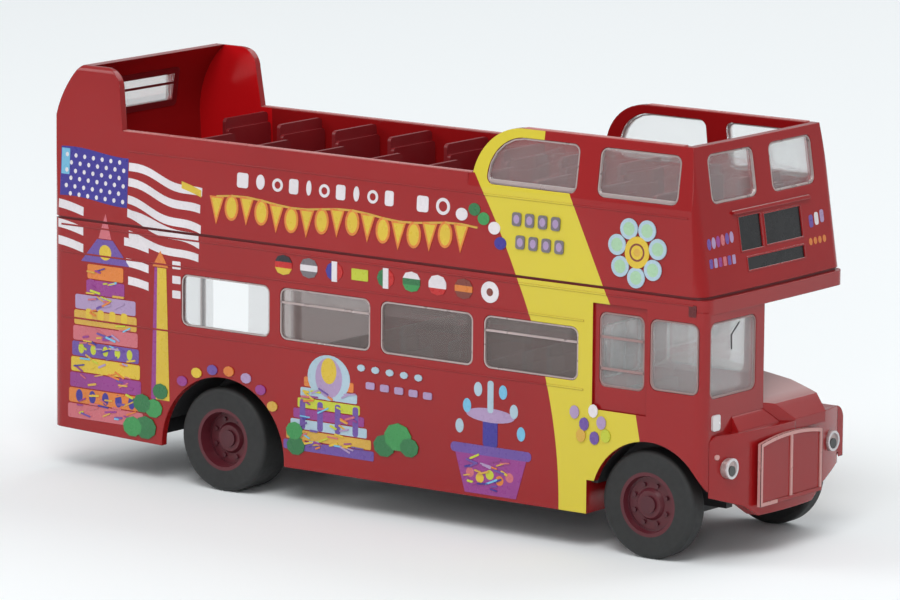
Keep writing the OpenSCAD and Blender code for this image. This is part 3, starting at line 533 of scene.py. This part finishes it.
def towerHouse():
    # A tall striped tower with a pointed roof, near the rear corner
    rows = []
    bands = ["pink", "orange", "purple", "yellow", "violet", "pink", "gold", "lilac", "purple", "orange"]
    for i, color in enumerate(bands):
        z = 6.2 + i * 1.85
        half = 5.6 - 0.16 * i - (1.5 if i > 7 else 0)
        rows.append((color, "plate", -39.4 - half, z, -39.4 + half, z + 1.7, 0.25))
    for i in range(5):
        rows.append(("blue", "disc", -43.3 + i * 1.95, 8.9, 0.5, 0.75))
        rows.append(("lime", "disc", -43.0 + i * 1.8, 14.5, 0.42, 0.6))
    for i in range(4):
        rows.append(("yellow", "plate", -42.3 + i * 1.75, 18.0, -41.4 + i * 1.75, 19.3, 0.3))
    rows.append(("violet", "poly", [(-43.0, 24.8), (-35.8, 24.8), (-38.3, 27.6), (-40.6, 27.6)]))
    rows.append(("pink", "poly", [(-40.4, 27.7), (-38.5, 27.7), (-39.4, 30.6)]))
    rows.append(("yellow", "disc", -39.4, 26.1, 0.9))
    return rows


def lighthouse():
    rows = [("yellow", "poly", [(-32.6, 9.8), (-29.9, 9.8), (-30.4, 25.2), (-32.1, 25.2)])]
    rows += [("purple", "poly", [(-32.6, 9.8), (-31.9, 9.8), (-31.7, 25.2), (-32.1, 25.2)])]
    rows += [("orange", "poly", [(-32.4, 25.3), (-30.1, 25.3), (-31.25, 27.2)])]
    return rows


def bandstand():
    rows = []
    for i, (color, half) in enumerate([("violet", 6.4), ("gold", 6.0), ("mist", 5.4), ("purple", 5.0),
                                       ("lime", 4.4), ("mist", 4.0), ("orange", 3.5)]):
        rows.append((color, "plate", -6.9 - half, 6.4 + i * 1.25, -6.9 + half, 7.5 + i * 1.25, 0.2))
    rows.append(("mist", "disc", -6.9, 15.2, 3.0, 2.6, 28))
    rows.append(("lilac", "disc", -6.9, 15.2, 1.9, 2.3, 24))
    rows.append(("yellow", "disc", -6.9, 16.0, 1.1, 1.5, 20))
    for i in range(4):
        rows.append(("violet", "plate", -11.0 + i * 2.5, 8.9, -10.2 + i * 2.5, 12.3, 0.3))
    return rows


def fountain():
    rows = [("purple", "poly", [(12.2, 4.6), (19.2, 4.6), (20.6, 9.2), (10.8, 9.2)]),
            ("violet", "plate", 10.2, 9.0, 21.2, 10.1, 0.5),
            ("blue", "plate", 14.6, 10.1, 16.6, 13.4, 0.3), ("lilac", "disc", 15.6, 13.6, 3.3, 0.8),
            ("mist", "bar", 15.6, 14.2, 15.6, 17.2, 0.8)]
    for i, (dx, z) in enumerate([(-4.2, 12.0), (-3.2, 14.4), (-1.7, 16.4), (1.7, 16.4), (3.2, 14.4),
                                 (4.2, 12.0)]):
        rows.append(("sky" if i % 2 else "mist", "disc", 15.6 + dx, z, 0.55, 0.8))
    for i in range(5):
        rows.append((["pink", "yellow", "lime", "orange", "pink"][i], "disc", 12.9 + i * 1.35,
                     6.9 - 0.5 * (i % 2), 0.55))
    return rows


def pennant():
    # A blue field with white dots and white wavy stripes round it
    rows = [("blue", "wave", -46.3, -36.3, 34.9, 5.7, 0.02, 0.25, 14.0, 0.6)]
    rows += [("sky", "wave", -46.2, -45.0, 36.2, 3.0, 0.02, 0.05, 14.0)]
    for row in range(6):
        for i in range(7):
            x = -45.4 + i * 1.3 + (0.65 if row % 2 else 0)
            if x < -36.8:
                rows.append(("white", "disc", x, 37.0 - row * 0.9 - 0.04 * i, 0.24, 0.27, 8))
    for i, z in enumerate((36.4, 34.5, 32.4, 30.8)):
        rows.append(("white", "wave", -36.2, -25.4 - 0.2 * (i % 2), z, 0.95, 0.2 + 0.012 * i, 0.3, 9.0,
                     0.5 * i))
    rows.append(("yellow", "wave", -28.4, -25.5, 35.1, 0.8, 0.3, 0.1, 9.0))
    for i, z in enumerate((31.4, 29.0)):
        rows.append(("white", "wave", -35.9, -25.7, z - 0.6, 0.9, 0.17, 0.25, 10.0, 0.8 + i))
    for i, z in enumerate((31.2, 28.9, 26.9)):
        rows.append(("white", "wave", -46.4, -42.7, z, 1.0, 0.16, 0.1, 8.0, 0.6))
    for i, z in enumerate((27.7, 25.3, 23.2)):
        rows.append(("white", "wave", -36.6 + 0.3 * i, -33.0, z, 0.95, 0.14, 0.1, 8.0, 0.4))
    for i in range(3):
        rows.append(("white", "plate", -29.5, 25.3 - i * 1.7, -28.3, 26.2 - i * 1.7, 0.1))
    return rows


def letterRows():
    # Rows of plain dots and bars, and a garland of loops
    rows = []
    x = -20.4
    for i, width in enumerate((1.6, 1.2, 1.2, 1.3, 0.7, 1.2, 1.3, 0.8, 1.3, 1.2)):
        if i % 3 == 1:
            rows.append(("white", "disc", x + width / 2, 36.5, width / 2, 0.85))
        elif i % 3 == 0:
            rows.append(("white", "plate", x, 35.6, x + width, 37.3, 0.3))
        else:
            rows.append(("white", "ring", x + width / 2 + 0.1, 36.4, 0.75, 0.32))
        x += width + 1.15
    rows += [("white", "plate", 5.0, 35.4, 6.6, 37.2, 0.35), ("white", "ring", 8.6, 36.3, 0.95, 0.36)]
    for i in range(17):
        x, z = -23.2 + i * 2.15, 34.3 + 0.3 * math.sin(i * 0.9)
        after = 34.3 + 0.3 * math.sin((i + 1) * 0.9)
        if i % 2:
            rows.append(("orange", "disc", x, z - 1.35, 1.0, 1.5, 20))
            rows.append(("yellow", "disc", x, z - 1.35, 0.72, 1.2, 20))
        else:
            rows.append(("orange", "poly", [(x - 1.05, z), (x + 1.05, z), (x, z - 3.2)]))
            rows.append(("yellow", "poly", [(x - 0.75, z - 0.2), (x + 0.75, z - 0.2), (x, z - 2.5)]))
        rows.append(("gold", "bar", x, z, x + 2.15, after, 0.22))
    for i, (x, z) in enumerate(((11.2, 35.7), (12.9, 36.4), (14.2, 35.5), (15.7, 34.6), (16.6, 33.0))):
        rows.append((["white", "pine", "green", "white", "blue"][i], "disc", x, z, 0.8, 0.7))
    return rows


def roundels():
    # Small three-colour badges over the saloon windows
    sets = [("black", "red", "yellow"), ("grey", "white", "grey"), ("blue", "white", "red"),
            ("red", "lime", "red"), ("pine", "white", "red"), ("white", "pine", "green"),
            ("white", "white", "red"), ("brown", "orange", "brown"), ("white", "white", "white")]
    rows = []
    for i, (top, mid, low) in enumerate(sets):
        x = -13.4 + i * 3.6
        z = 27.45
        if i in (2, 4):
            left = [(x - 0.3, z - 1.05), (x - 0.3, z + 1.05), (x - 0.9, z + 0.7), (x - 1.2, z),
                    (x - 0.9, z - 0.7)]
            right = [(x + 0.45, z - 1.0), (x + 1.0, z - 0.6), (x + 1.2, z), (x + 1.0, z + 0.6),
                     (x + 0.45, z + 1.0)]
            rows += [(top, "poly", left), (mid, "plate", x - 0.35, z - 1.15, x + 0.4, z + 1.15),
                     (low, "poly", right)]
        elif i == 3:
            rows += [("lime", "plate", x - 1.15, z - 0.65, x + 1.15, z + 0.65, 0.1)]
        elif i == 8:
            rows += [("white", "disc", x, z, 1.2), ("brown", "disc", x, z, 0.45)]
        else:
            upper = [(x - 1.2, z + 0.35), (x + 1.2, z + 0.35), (x + 0.8, z + 0.95), (x, z + 1.15),
                     (x - 0.8, z + 0.95)]
            lower = [(x - 1.2, z - 0.35), (x - 0.8, z - 0.95), (x, z - 1.15), (x + 0.8, z - 0.95),
                     (x + 1.2, z - 0.35)]
            rows += [(mid, "plate", x - 1.2, z - 0.35, x + 1.2, z + 0.35, 0.1), (top, "poly", upper),
                     (low, "poly", lower)]
    return rows


def gardens():
    rows = []
    for x, z, r, color in ((-33.4, 6.3, 1.6, "pine"), (-35.3, 6.2, 1.4, "green"),
                           (-32.2, 8.7, 1.3, "green"), (-33.9, 9.1, 1.3, "pine"),
                           (-31.2, 10.8, 1.1, "pine"), (-11.5, 6.9, 1.3, "pine"),
                           (-11.7, 8.6, 1.2, "green"), (1.0, 8.4, 1.5, "pine"),
                           (2.9, 9.6, 1.9, "green"), (4.5, 8.6, 1.3, "pine")):
        rows.append((color, "disc", x, z, r, r * 0.85, 9))
    for i, (x, z) in enumerate(((-28.0, 12.4), (-25.9, 13.6), (-23.6, 14.2), (-21.2, 14.3), (-18.7, 13.8),
                                (-16.6, 12.7), (-14.9, 11.0))):
        rows.append((["purple", "yellow", "violet", "orange", "lilac", "purple", "gold"][i], "disc", x, z,
                     0.75, 0.6, 10))
    for i in range(5):
        rows.append(("mist", "disc", -2.3 + i * 2.0, 16.9 - 0.05 * i, 0.55, 0.4, 8))
        rows.append(("lilac", "plate", -1.6 + i * 2.0, 14.6 - 0.05 * i, -0.4 + i * 2.0, 15.4 - 0.05 * i,
                     0.2))
    for i, (x, z) in enumerate(((27.0, 15.4), (28.3, 14.2), (29.5, 15.8), (30.6, 14.6), (27.9, 12.9),
                                (29.7, 12.8), (31.2, 13.2))):
        rows.append((["lilac", "violet", "white", "lilac", "gold", "violet", "lime"][i], "disc", x, z,
                     0.62, 0.75, 10))
    return rows


def flowerMark():
    # A flower of round petals beside the front corner
    x, z, petals, reach = 34.9, 33.9, 7, 2.75
    rows = []
    for i in range(petals):
        a = 2 * math.pi * (i + 0.25) / petals
        centre = (x + reach * math.cos(a), z + reach * math.sin(a))
        rows.append(("mist", "disc", *centre, 1.15))
        rows.append(("mint", "disc", *centre, 0.75))
    rows += [("yellow", "disc", x, z, 1.6, 1.75, 28), ("brown", "ring", x, z, 1.0, 0.22),
             ("gold", "disc", x, z, 0.45)]
    return rows


def strokes():
    # Short strokes of mixed colour over the painted buildings
    pick = random.Random(11)
    colors = ("pink", "orange", "yellow", "violet", "lime", "sky", "purple", "blue", "lilac", "gold")
    rows = []
    for x0, z0, x1, z1, count in ((-43.6, 6.6, -35.4, 17.6, 70), (-41.8, 17.6, -37.0, 24.0, 24),
                                  (-12.2, 6.8, -1.8, 8.8, 26),
                                  (-10.8, 8.8, -3.2, 14.0, 26), (12.4, 5.2, 18.6, 8.8, 22)):
        for i in range(count):
            x, z = pick.uniform(x0, x1), pick.uniform(z0, z1)
            a, reach = pick.uniform(-0.5, 0.5), pick.uniform(0.25, 0.8)
            rows.append((pick.choice(colors), "bar", x - reach * math.cos(a), z - reach * math.sin(a),
                         x + reach * math.cos(a), z + reach * math.sin(a), pick.uniform(0.14, 0.26)))
    return rows


def bandDots():
    rows = []
    for i in range(4):
        for row, z in enumerate((35.9, 33.4)):
            x = 18.1 + i * 1.75 + 0.6 * row
            rows.append(("grey", "plate", x, z - 0.75, x + 1.2, z + 0.75, 0.3))
            rows.append(("lilac", "disc", x + 0.6, z, 0.4, 0.5, 12))
    return rows


def frontSpots():
    # Spots beside the displays on the upper front, drawn with X as the side position
    rows = []
    for i, color in enumerate(("violet", "lilac", "purple", "pink", "violet", "lilac")):
        rows.append((color, "disc", -11.6 + 0.85 * i, 35.3 + 0.06 * i, 0.36, 0.62))
        rows.append((color, "plate", -11.9 + 0.85 * i, 32.7, -11.3 + 0.85 * i, 33.7, 0.15))
    for i, color in enumerate(("violet", "white", "lilac")):
        rows.append((color, "plate", 8.0 + 1.15 * i, 34.7 + 0.15 * i, 8.8 + 1.15 * i, 36.1 + 0.15 * i, 0.3))
    for i in range(4):
        rows.append(("orange", "disc", 7.9 + 0.95 * i, 33.2, 0.34, 0.4))
    return rows


motifs = [pennant(), towerHouse(), lighthouse(), bandstand(), fountain(), letterRows(), roundels(),
          strokes(), gardens(), flowerMark(), bandDots()]


def overOpening(bm):
    # Whether a shape would hang in the way in or ahead of the bulkhead, which are open on the platform side
    xs, zs = [v.co.x for v in bm.verts], [v.co.z for v in bm.verts]
    inEntry = min(xs) < openSet["entryX"] and min(zs) < openSet["entryTop"]
    aheadOfBulkhead = max(xs) > openSet["bulkheadX"] and min(zs) < openSet["canopyZ"]
    return inEntry or aheadOfBulkhead


openSet = {"entryX": -32.2, "entryTop": 24.9, "bulkheadX": 28.8, "canopyZ": 27.9}


def printLivery():
    for level, (color, kind, *values) in enumerate(frontSpots()):
        bm = shape(kind, *values)
        ontoFront(bm, layerSet["first"] + layerSet["step"] * level, 0.1)
        newPiece("frontSpot" + str(level + 1), bm, inks[color])
    for side, sideName in ((-1, "Offside"), (1, "Nearside")):
        sheets = {}
        rows = [row for motif in motifs for row in motif]
        for level, (color, kind, *values) in enumerate(rows):
            bm = shape(kind, *values)
            bmesh.ops.translate(bm, vec=(drop, 0, 0), verts=bm.verts)
            if side > 0 and overOpening(bm):
                bm.free()
                continue
            ontoSide(bm, side, layerSet["first"] + layerSet["step"] * level)
            merge(sheets.setdefault(color, bmesh.new()), bm)
        for color, sheet in sheets.items():
            newPiece("print" + color.capitalize() + sideName, sheet, inks[color])


printLivery()
print("livery printed")

# Windows: bright frames just inside their openings, hopper bars
frameSet = {
    "gap": 0.05, "width": 0.16, "depth": 0.3, "lift": -0.05,
    "sill": 18.85, "head": 24.85, "pitch": 14.25, "length": 12.8, "first": 15.3, "radius": 0.9,
    "hopperDrop": 1.7, "hopperWidth": 0.24,
    "curved": (15.05, 39.4, 27.15, 44.8), "plain": (29.85, 39.4, 40.55, 44.8), "curveRadius": 4.5,
    "front": (1.5, 39.4, 10.2, 44.8),
    "door": (30.7, 18.6, 36.7, 26.9), "doorBars": (24.1, 20.6),
    "cabSide": (37.6, 19.0, 43.95, 26.9), "windscreen": (-12.8, 18.5, -3.9, 26.9),
}


def frameRing(x0, z0, x1, z1, radii=(0.9,) * 4, gap=None, width=None):
    # A frame inside an opening, with a radius for each corner: foot left, foot right, top right, top left
    g = frameSet["gap"] if gap is None else gap
    bm = flatShape([(x0 + g, z0 + g), (x1 - g, z0 + g), (x1 - g, z1 - g), (x0 + g, z1 - g)])
    for v, radius in zip(bm.verts[:], radii):
        bmesh.ops.bevel(bm, geom=[v], offset=radius, segments=5, profile=0.5, affect="VERTICES",
                        material=-1)
    hollow(bm, width or frameSet["width"])
    return bm


def frameBar(x0, x1, z, width):
    return flatPlate(x0, z - width / 2, x1, z + width / 2)


def sideFrames(side, sideName):
    f = frameSet
    bm = bmesh.new()
    for n in range(4):
        x = f["first"] - n * f["pitch"]
        rows = [frameRing(x, f["sill"], x + f["length"], f["head"])]
        if n % 2 == 0:
            rows.append(frameBar(x + 0.1, x + f["length"] - 0.1, f["head"] - f["hopperDrop"],
                                 f["hopperWidth"]))
        for row in rows:
            ontoSide(row, side, f["lift"], f["depth"])
            merge(bm, row)
    newPiece("windowFrames" + sideName, bm, finishes["silver"])
    bm = bmesh.new()
    for row in (frameRing(*f["curved"], (0.9, 0.9, 0.9, f["curveRadius"])), frameRing(*f["plain"]),
                frameBar(f["curved"][0] + 0.5, f["curved"][2] - 0.3, f["curved"][1] + 0.3, 0.5),
                frameBar(f["plain"][0] + 0.5, f["plain"][2] - 0.3, f["plain"][1] + 0.3, 0.3)):
        ontoSide(row, side, f["lift"], f["depth"])
        merge(bm, row)
    newPiece("upperFrames" + sideName, bm, finishes["silver"])


def ontoCab(bm, lift, depth=0.12):
    # Turns flat faces to the wall with the windscreen, drawn with X as the side position
    for v in bm.verts:
        v.co = (bodyLines["cabX"] + lift, v.co.x, v.co.z)
    thicken(bm, (-depth, 0, 0))


def cabFrames():
    f = frameSet
    bm = bmesh.new()
    rows = [frameRing(*f["cabSide"])]
    for row in rows:
        ontoSide(row, -1, f["lift"], f["depth"])
        merge(bm, row)
    rows = [frameRing(*f["door"])] + [frameBar(f["door"][0] + 0.1, f["door"][2] - 0.1, z,
                                               0.26) for z in f["doorBars"]]
    for row in rows:
        ontoSide(row, -1, f["lift"] - 0.3, f["depth"])
        merge(bm, row)
    screen = frameRing(*f["windscreen"])
    ontoCab(screen, f["lift"], f["depth"])
    merge(bm, screen)
    newPiece("cabFrames", bm, finishes["dull"])


def frontFrames():
    bm = bmesh.new()
    for side in (-1, 1):
        y0, z0, y1, z1 = frameSet["front"]
        ring = frameRing(min(side * y0, side * y1), z0, max(side * y0, side * y1), z1)
        ontoFront(ring, frameSet["lift"], frameSet["depth"])
        merge(bm, ring)
    newPiece("upperFrontFrames", bm, finishes["silver"])


for side, sideName in ((-1, "Offside"), (1, "Nearside")):
    sideFrames(side, sideName)
cabFrames()
frontFrames()
print("window frames fitted")

# Wiper, lamps and small fittings of the cab's front and the nose
noseSet = {
    "wiper": [(-7.35, 26.4), (-8.9, 25.2), (-8.8, 23.6)],
    "bezel": 1.15, "lens": 0.62, "lampY": 10.1, "lampZ": 10.7, "lampX": 45.93,
    "sideLamp": (-12.45, 15.0, -11.0, 16.75), "button": (-11.8, 12.1, 0.3),
    "marker": (42.6, 27.6, 43.6, 28.9),
    "radiator": (6.1, 5.9, 12.9, 0.6), "coverWidth": 0.16, "coverX": 47.12, "lowBar": (-2.7, 6.0),
    "barWidth": 0.4,
}


def noseX(y):
    b = bodyLines
    return b["noseX"] - b["noseRadius"] + math.sqrt(b["noseRadius"] ** 2 - y * y)


def fittings():
    n = noseSet
    wiper = pipe([(bodyLines["cabX"] + 0.05, y, z) for y, z in n["wiper"]], 0.08, 8)
    newPiece("wiper", wiper, finishes["black"])
    bright, dark = bmesh.new(), bmesh.new()
    for side in (-1, 1):
        ring = flatRing(side * n["lampY"], n["lampZ"], n["bezel"], 0.28)
        lens = flatDisc(side * n["lampY"], n["lampZ"] - 0.25, n["lens"], n["lens"] * 0.9)
        for flat, target, lift in ((ring, bright, 0.12), (lens, dark, 0.06)):
            for v in flat.verts:
                v.co = (n["lampX"] + lift, v.co.x, v.co.z)
            thicken(flat, (-0.3, 0, 0))
            merge(target, flat)
    lamp = flatPlate(*n["sideLamp"], 0.3)
    ontoCab(lamp, 0.25, 0.4)
    merge(bright, lamp)
    newPiece("lampBezels", bright, finishes["lampWhite"])
    newPiece("lampLenses", dark, finishes["lens"])
    button = flatDisc(*n["button"], steps=14)
    for v in button.verts:
        v.co = (noseX(v.co.x) + 0.15, v.co.x, v.co.z)
    thicken(button, (-0.3, 0, 0))
    newPiece("noseButton", button, finishes["rose"])
    marker = flatPlate(*n["marker"], 0.15)
    ontoSide(marker, -1, 0.03, 0.1)
    newPiece("cabMarker", marker, inks["wine"])


def radiatorCover():
    # Body colour over the outer part of the radiator's frame and most of its low bar
    n = noseSet
    halfWidth, low, high, rise = n["radiator"]
    radius = (halfWidth ** 2 + rise ** 2) / (2 * rise)
    steps = 16
    points = [(-halfWidth, low), (halfWidth, low)]
    for i in range(steps + 1):
        y = halfWidth * (1 - 2 * i / steps)
        points.append((y, high + rise - radius + math.sqrt(radius ** 2 - y ** 2)))
    ring = flatShape(points)
    hollow(ring, n["coverWidth"])
    merge(ring, flatPlate(n["lowBar"][0], low + 0.01, n["lowBar"][1], low + n["barWidth"] + 0.02))
    for v in ring.verts:
        v.co = (n["coverX"], v.co.x, v.co.z)
    thicken(ring, (-0.1, 0, 0))
    newPiece("radiatorCover", ring, finishes["plainRed"])


fittings()
radiatorCover()
print("nose fittings fitted")

# Beading, pale strips that paint the highlight on the wall tops, display frames and the hood's window frame
trimSet = {
    "beads": ((-45.2, 43.2, 28.85), (-45.2, 28.8, 25.65), (-45.2, 28.8, 18.0), (-35.6, 42.0, 38.2)),
    "beadHeight": 0.2, "bead": 0.06,
    "sideTop": 40.4, "openFrom": -36.5, "openTo": 12.9, "wall": 0.9, "railTop": 45.8, "railFrom": 19.4,
    "railTo": 40.6, "cap": 0.1,
    "displays": ((-5.8, 33.8, -1.5, 37.6), (-0.9, 33.9, 6.5, 37.4), (-4.9, 31.6, 6.5, 33.1)),
    "ledge": (-6.8, 37.95, 8.4, 38.35),
    "hoodCentre": (-34.8, 38.8), "hoodRadius": 12.0, "hoodPane": (40.8, 44.7, 7.5, 5.9), "hoodBar": 43.2,
    "bulkheadPanes": ((2.4, 20.4, 12.0, 24.85), (-11.0, 18.85, -3.8, 24.85)),
    "rearPlate": (-8.6, 10.2, -3.4, 11.6),
}


def ontoWall(bm, x, depth):
    # Turns flat faces to a wall across the bus at x, drawn with X as the side position
    for v in bm.verts:
        v.co = (x, v.co.x, v.co.z)
    thicken(bm, (depth, 0, 0))


def beading():
    t = trimSet
    for side, sideName in ((-1, "Offside"), (1, "Nearside")):
        bm = bmesh.new()
        for x0, x1, z in t["beads"]:
            if side > 0 and z < 26:
                x0 = openSet["entryX"] + 0.8
            row = flatPlate(x0, z - t["beadHeight"] / 2, x1, z + t["beadHeight"] / 2)
            ontoSide(row, side, t["bead"], 0.15)
            merge(bm, row)
        newPiece("beading" + sideName, bm, finishes["paint"])


def paintedHighlightStrips():
    # Pale pink strips on the tops of the open side walls and of the raised front part, which paint the
    # highlight where light catches these edges
    t = trimSet
    bm = bmesh.new()
    for side in (-1, 1):
        for x0, x1, z in ((t["openFrom"], t["openTo"], t["sideTop"]),
                          (t["railFrom"], t["railTo"], t["railTop"])):
            row = flatPlate(x0, z - 0.02, x1, z + t["cap"])
            for v in row.verts:
                v.co.y = side * (sideY(v.co.x, z) - 0.06)
            thicken(row, (0, -side * (t["wall"] - 0.14), 0))
            merge(bm, row)
    newPiece("sideTopHighlights", bm, finishes["edge"])


def displayFrames():
    bm = bmesh.new()
    for x0, z0, x1, z1 in trimSet["displays"]:
        ring = frameRing(x0, z0, x1, z1, (0.2,) * 4, gap=-0.1, width=0.18)
        ontoFront(ring, 0.05, 0.2)
        merge(bm, ring)
    newPiece("displayFrames", bm, finishes["plainRed"])
    ledge = flatPlate(*trimSet["ledge"], 0.15)
    ontoFront(ledge, 0.32, 0.5)
    newPiece("displayLedge", ledge, finishes["plainRed"])


def hoodX(z, inset):
    # Rear wall of the hood at height z, upright below its curve
    t = trimSet
    rise = max(0.0, z - t["hoodCentre"][1])
    return t["hoodCentre"][0] - math.sqrt((t["hoodRadius"] - inset) ** 2 - rise * rise)


def hoodFrame():
    t = trimSet
    z0, z1, foot, top = t["hoodPane"]
    for name, inset, depth, width, finish in (("Inside", t["wall"], 0.16, 0.8, "seatRed"),
                                              ("Outside", 0.0, -0.14, 0.3, "silver")):
        g = -0.5 if inset else -0.05
        outer = flatShape([(-foot + g, z0 + g), (foot - g, z0 + g), (top - g, z1 - g), (-top + g, z1 - g)])
        bmesh.ops.bevel(outer, geom=outer.verts[:], offset=0.8, segments=4, profile=0.5,
                        affect="VERTICES", material=-1)
        hollow(outer, width)
        if inset:
            merge(outer, flatPlate(-6.6, t["hoodBar"] - 0.16, 6.6, t["hoodBar"] + 0.16))
        for v in outer.verts:
            v.co = (hoodX(v.co.z, inset) + depth * 0.6, v.co.x, v.co.z)
        thicken(outer, (-depth * 0.6, 0, 0))
        newPiece("hoodFrame" + name, outer, finishes[finish])


def bulkheadFrames():
    bm = bmesh.new()
    for pane in trimSet["bulkheadPanes"]:
        ring = frameRing(*pane)
        ontoWall(ring, bodyLines["bulkheadX"] + 0.05, -0.3)
        merge(bm, ring)
    newPiece("bulkheadFrames", bm, finishes["silver"])


def blankPlates():
    rear = flatPlate(*trimSet["rearPlate"], 0.2)
    ontoWall(rear, bodyLines["rearX"] - 0.12, 0.2)
    newPiece("rearPlate", rear, finishes["plate"])


beading()
paintedHighlightStrips()
displayFrames()
hoodFrame()
bulkheadFrames()
blankPlates()
print("trim fitted")

# Wheel nuts, hub caps and rings, which turn with their wheels
wheelSet = {
    "nuts": 8, "nutCircle": 2.25, "nut": 0.27, "nutHeight": 0.25, "ring": 3.05, "ringWidth": 0.2,
    "cap": 0.95, "capHeight": 0.3,
    "frontDish": 0.3, "rearDish": 1.2, "step": 0.4, "sink": 0.05, "ringHeight": 0.14, "capSteps": 24,
}


def standOnWheel(bm, x, side, out, height):
    # Moves flat faces, drawn round the origin, to a wheel's outer face
    b = bodyLines
    for v in bm.verts:
        v.co = (b[x] + v.co.x, side * out, b["axleZ"] + v.co.z)
    thicken(bm, (0, side * height, 0))


def wheelDetails():
    w = wheelSet
    for x, dish, body, name in (("frontAxleX", w["frontDish"], "front_wheelset", "front"),
                                ("rearAxleX", w["rearDish"], "rear_wheelset", "rear")):
        bm = bmesh.new()
        for side in (-1, 1):
            face = bodyLines["trackHalf"] - dish - w["step"]
            for i in range(w["nuts"]):
                a = 2 * math.pi * (i + 0.5) / w["nuts"]
                nut = flatDisc(w["nutCircle"] * math.cos(a), w["nutCircle"] * math.sin(a), w["nut"],
                               steps=6)
                standOnWheel(nut, x, side, face - w["sink"], w["nutHeight"] + w["sink"])
                merge(bm, nut)
            ring = flatRing(0, 0, w["ring"], w["ringWidth"], 40)
            standOnWheel(ring, x, side, face - w["sink"], w["ringHeight"])
            merge(bm, ring)
            cap = flatDisc(0, 0, w["cap"], steps=w["capSteps"])
            standOnWheel(cap, x, side, bodyLines["trackHalf"] - dish - 0.05,
                         min(w["capHeight"], dish) + 0.03)
            merge(bm, cap)
        newPiece(name + "WheelNuts", bm, finishes["nut"], body)


wheelDetails()
print("wheel nuts fitted")

# Rails on the upper deck and parts below the floor
underSet = {
    "stairRail": [(-33.4, -5.2, 30.0), (-33.4, -5.2, 34.6), (-34.2, -5.2, 35.4), (-42.6, -5.2, 35.4),
                  (-43.4, -5.2, 34.6), (-43.4, -5.2, 30.0)],
    "stairPost": [(-38.4, -5.2, 30.0), (-38.4, -5.2, 35.4)], "rail": 0.26,
    "shaft": [(-19.6, 0, 7.1), (6.0, 0, 7.1), (26.0, 0, 7.2)], "shaftRadius": 0.4,
    "exhaust": [(27.0, 7.4, 7.2), (18.0, 7.6, 7.2), (-8.0, 7.6, 7.2), (-14.0, 7.0, 7.4)],
    "exhaustRadius": 0.35, "silencer": (2.0, 10.0, 0.7),
    "tank": (4.0, -11.4, 5.3, 14.5, -7.4, 8.0),
}


def deckRails():
    bm = pipe(underSet["stairRail"], underSet["rail"])
    merge(bm, pipe(underSet["stairPost"], underSet["rail"] * 0.9))
    newPiece("stairRails", bm, finishes["silver"])


def underParts():
    u = underSet
    bm = pipe(u["exhaust"], u["exhaustRadius"])
    x0, x1, radius = u["silencer"]
    merge(bm, pipe([(x0, 7.6, 7.2), (x1, 7.6, 7.2)], radius, 20))
    newPiece("exhaust", bm, finishes["steel"])
    newPiece("driveShaft", pipe(u["shaft"], u["shaftRadius"]), finishes["steel"])
    x0, y0, z0, x1, y1, z1 = u["tank"]
    tank = flatPlate(x0, z0, x1, z1, 0.5)
    bmesh.ops.translate(tank, vec=(0, y0, 0), verts=tank.verts)
    thicken(tank, (0, y1 - y0, 0))
    newPiece("fuelTank", tank, finishes["black"])


deckRails()
underParts()
print("rails and parts below fitted")

# Floor and light
studioSet = {
    "floorSize": 6.0,
    "floor": rgb(249, 252, 253),
    "sky": (0.9, 0.93, 0.95, 1.0),
    "skyPower": 0.5,
    "backdrop": rgb(247, 249, 249),
    "lamps": [  # place in metres, size, watts
        ("keyLamp", (0.35, -0.6, 0.9), 0.5, 5.0),
        ("fillLamp", (-0.7, -0.5, 0.55), 0.5, 2.2),
        ("rimLamp", (0.1, 0.8, 0.8), 0.8, 3.4),
        ("stripLamp", (0.42, -0.62, 0.22), 0.12, 0.6),
    ],
}


def makeStudio():
    mesh = bpy.data.meshes.new("studioFloor")
    bm = bmesh.new()
    bmesh.ops.create_grid(bm, x_segments=2, y_segments=2, size=studioSet["floorSize"] / 2)
    bm.to_mesh(mesh)
    bm.free()
    floor = bpy.data.objects.new("studioFloor", mesh)
    bpy.context.collection.objects.link(floor)
    f = Finish("floorPale")
    rays = f.add("ShaderNodeLightPath")
    seen = f.math("MAXIMUM", rays.outputs["Is Camera Ray"],
                  f.math("MAXIMUM", rays.outputs["Is Glossy Ray"], rays.outputs["Is Transmission Ray"]))
    f.set(color=f.mix(seen, rgb(225, 226, 226), studioSet["floor"]), rough=0.9, level=0.1)
    mesh.materials.append(f.material)
    world = bpy.data.worlds.new("studioSky")
    bpy.context.scene.world = world
    world.use_nodes = True
    tree = world.node_tree
    back = tree.nodes["Background"]
    back.inputs["Color"].default_value = studioSet["sky"]
    back.inputs["Strength"].default_value = studioSet["skyPower"]
    seen = tree.nodes.new("ShaderNodeBackground")
    seen.inputs["Color"].default_value = studioSet["backdrop"]
    rays = tree.nodes.new("ShaderNodeLightPath")
    either = tree.nodes.new("ShaderNodeMath")
    either.operation = "MAXIMUM"
    tree.links.new(rays.outputs["Is Camera Ray"], either.inputs[0])
    tree.links.new(rays.outputs["Is Transmission Ray"], either.inputs[1])
    mixer = tree.nodes.new("ShaderNodeMixShader")
    tree.links.new(either.outputs[0], mixer.inputs[0])
    tree.links.new(back.outputs[0], mixer.inputs[1])
    tree.links.new(seen.outputs[0], mixer.inputs[2])
    tree.links.new(mixer.outputs[0], tree.nodes["World Output"].inputs["Surface"])
    for name, place, size, power in studioSet["lamps"]:
        data = bpy.data.lights.new(name, "AREA")
        data.size = size
        data.energy = power
        lamp = bpy.data.objects.new(name, data)
        bpy.context.collection.objects.link(lamp)
        lamp.location = place
        lamp.rotation_euler = (Vector((0, 0, 0.02)) - Vector(place)).to_track_quat("-Z", "Y").to_euler()
    scene = bpy.context.scene
    scene.view_settings.view_transform = "Standard"


makeStudio()
print("studio made")
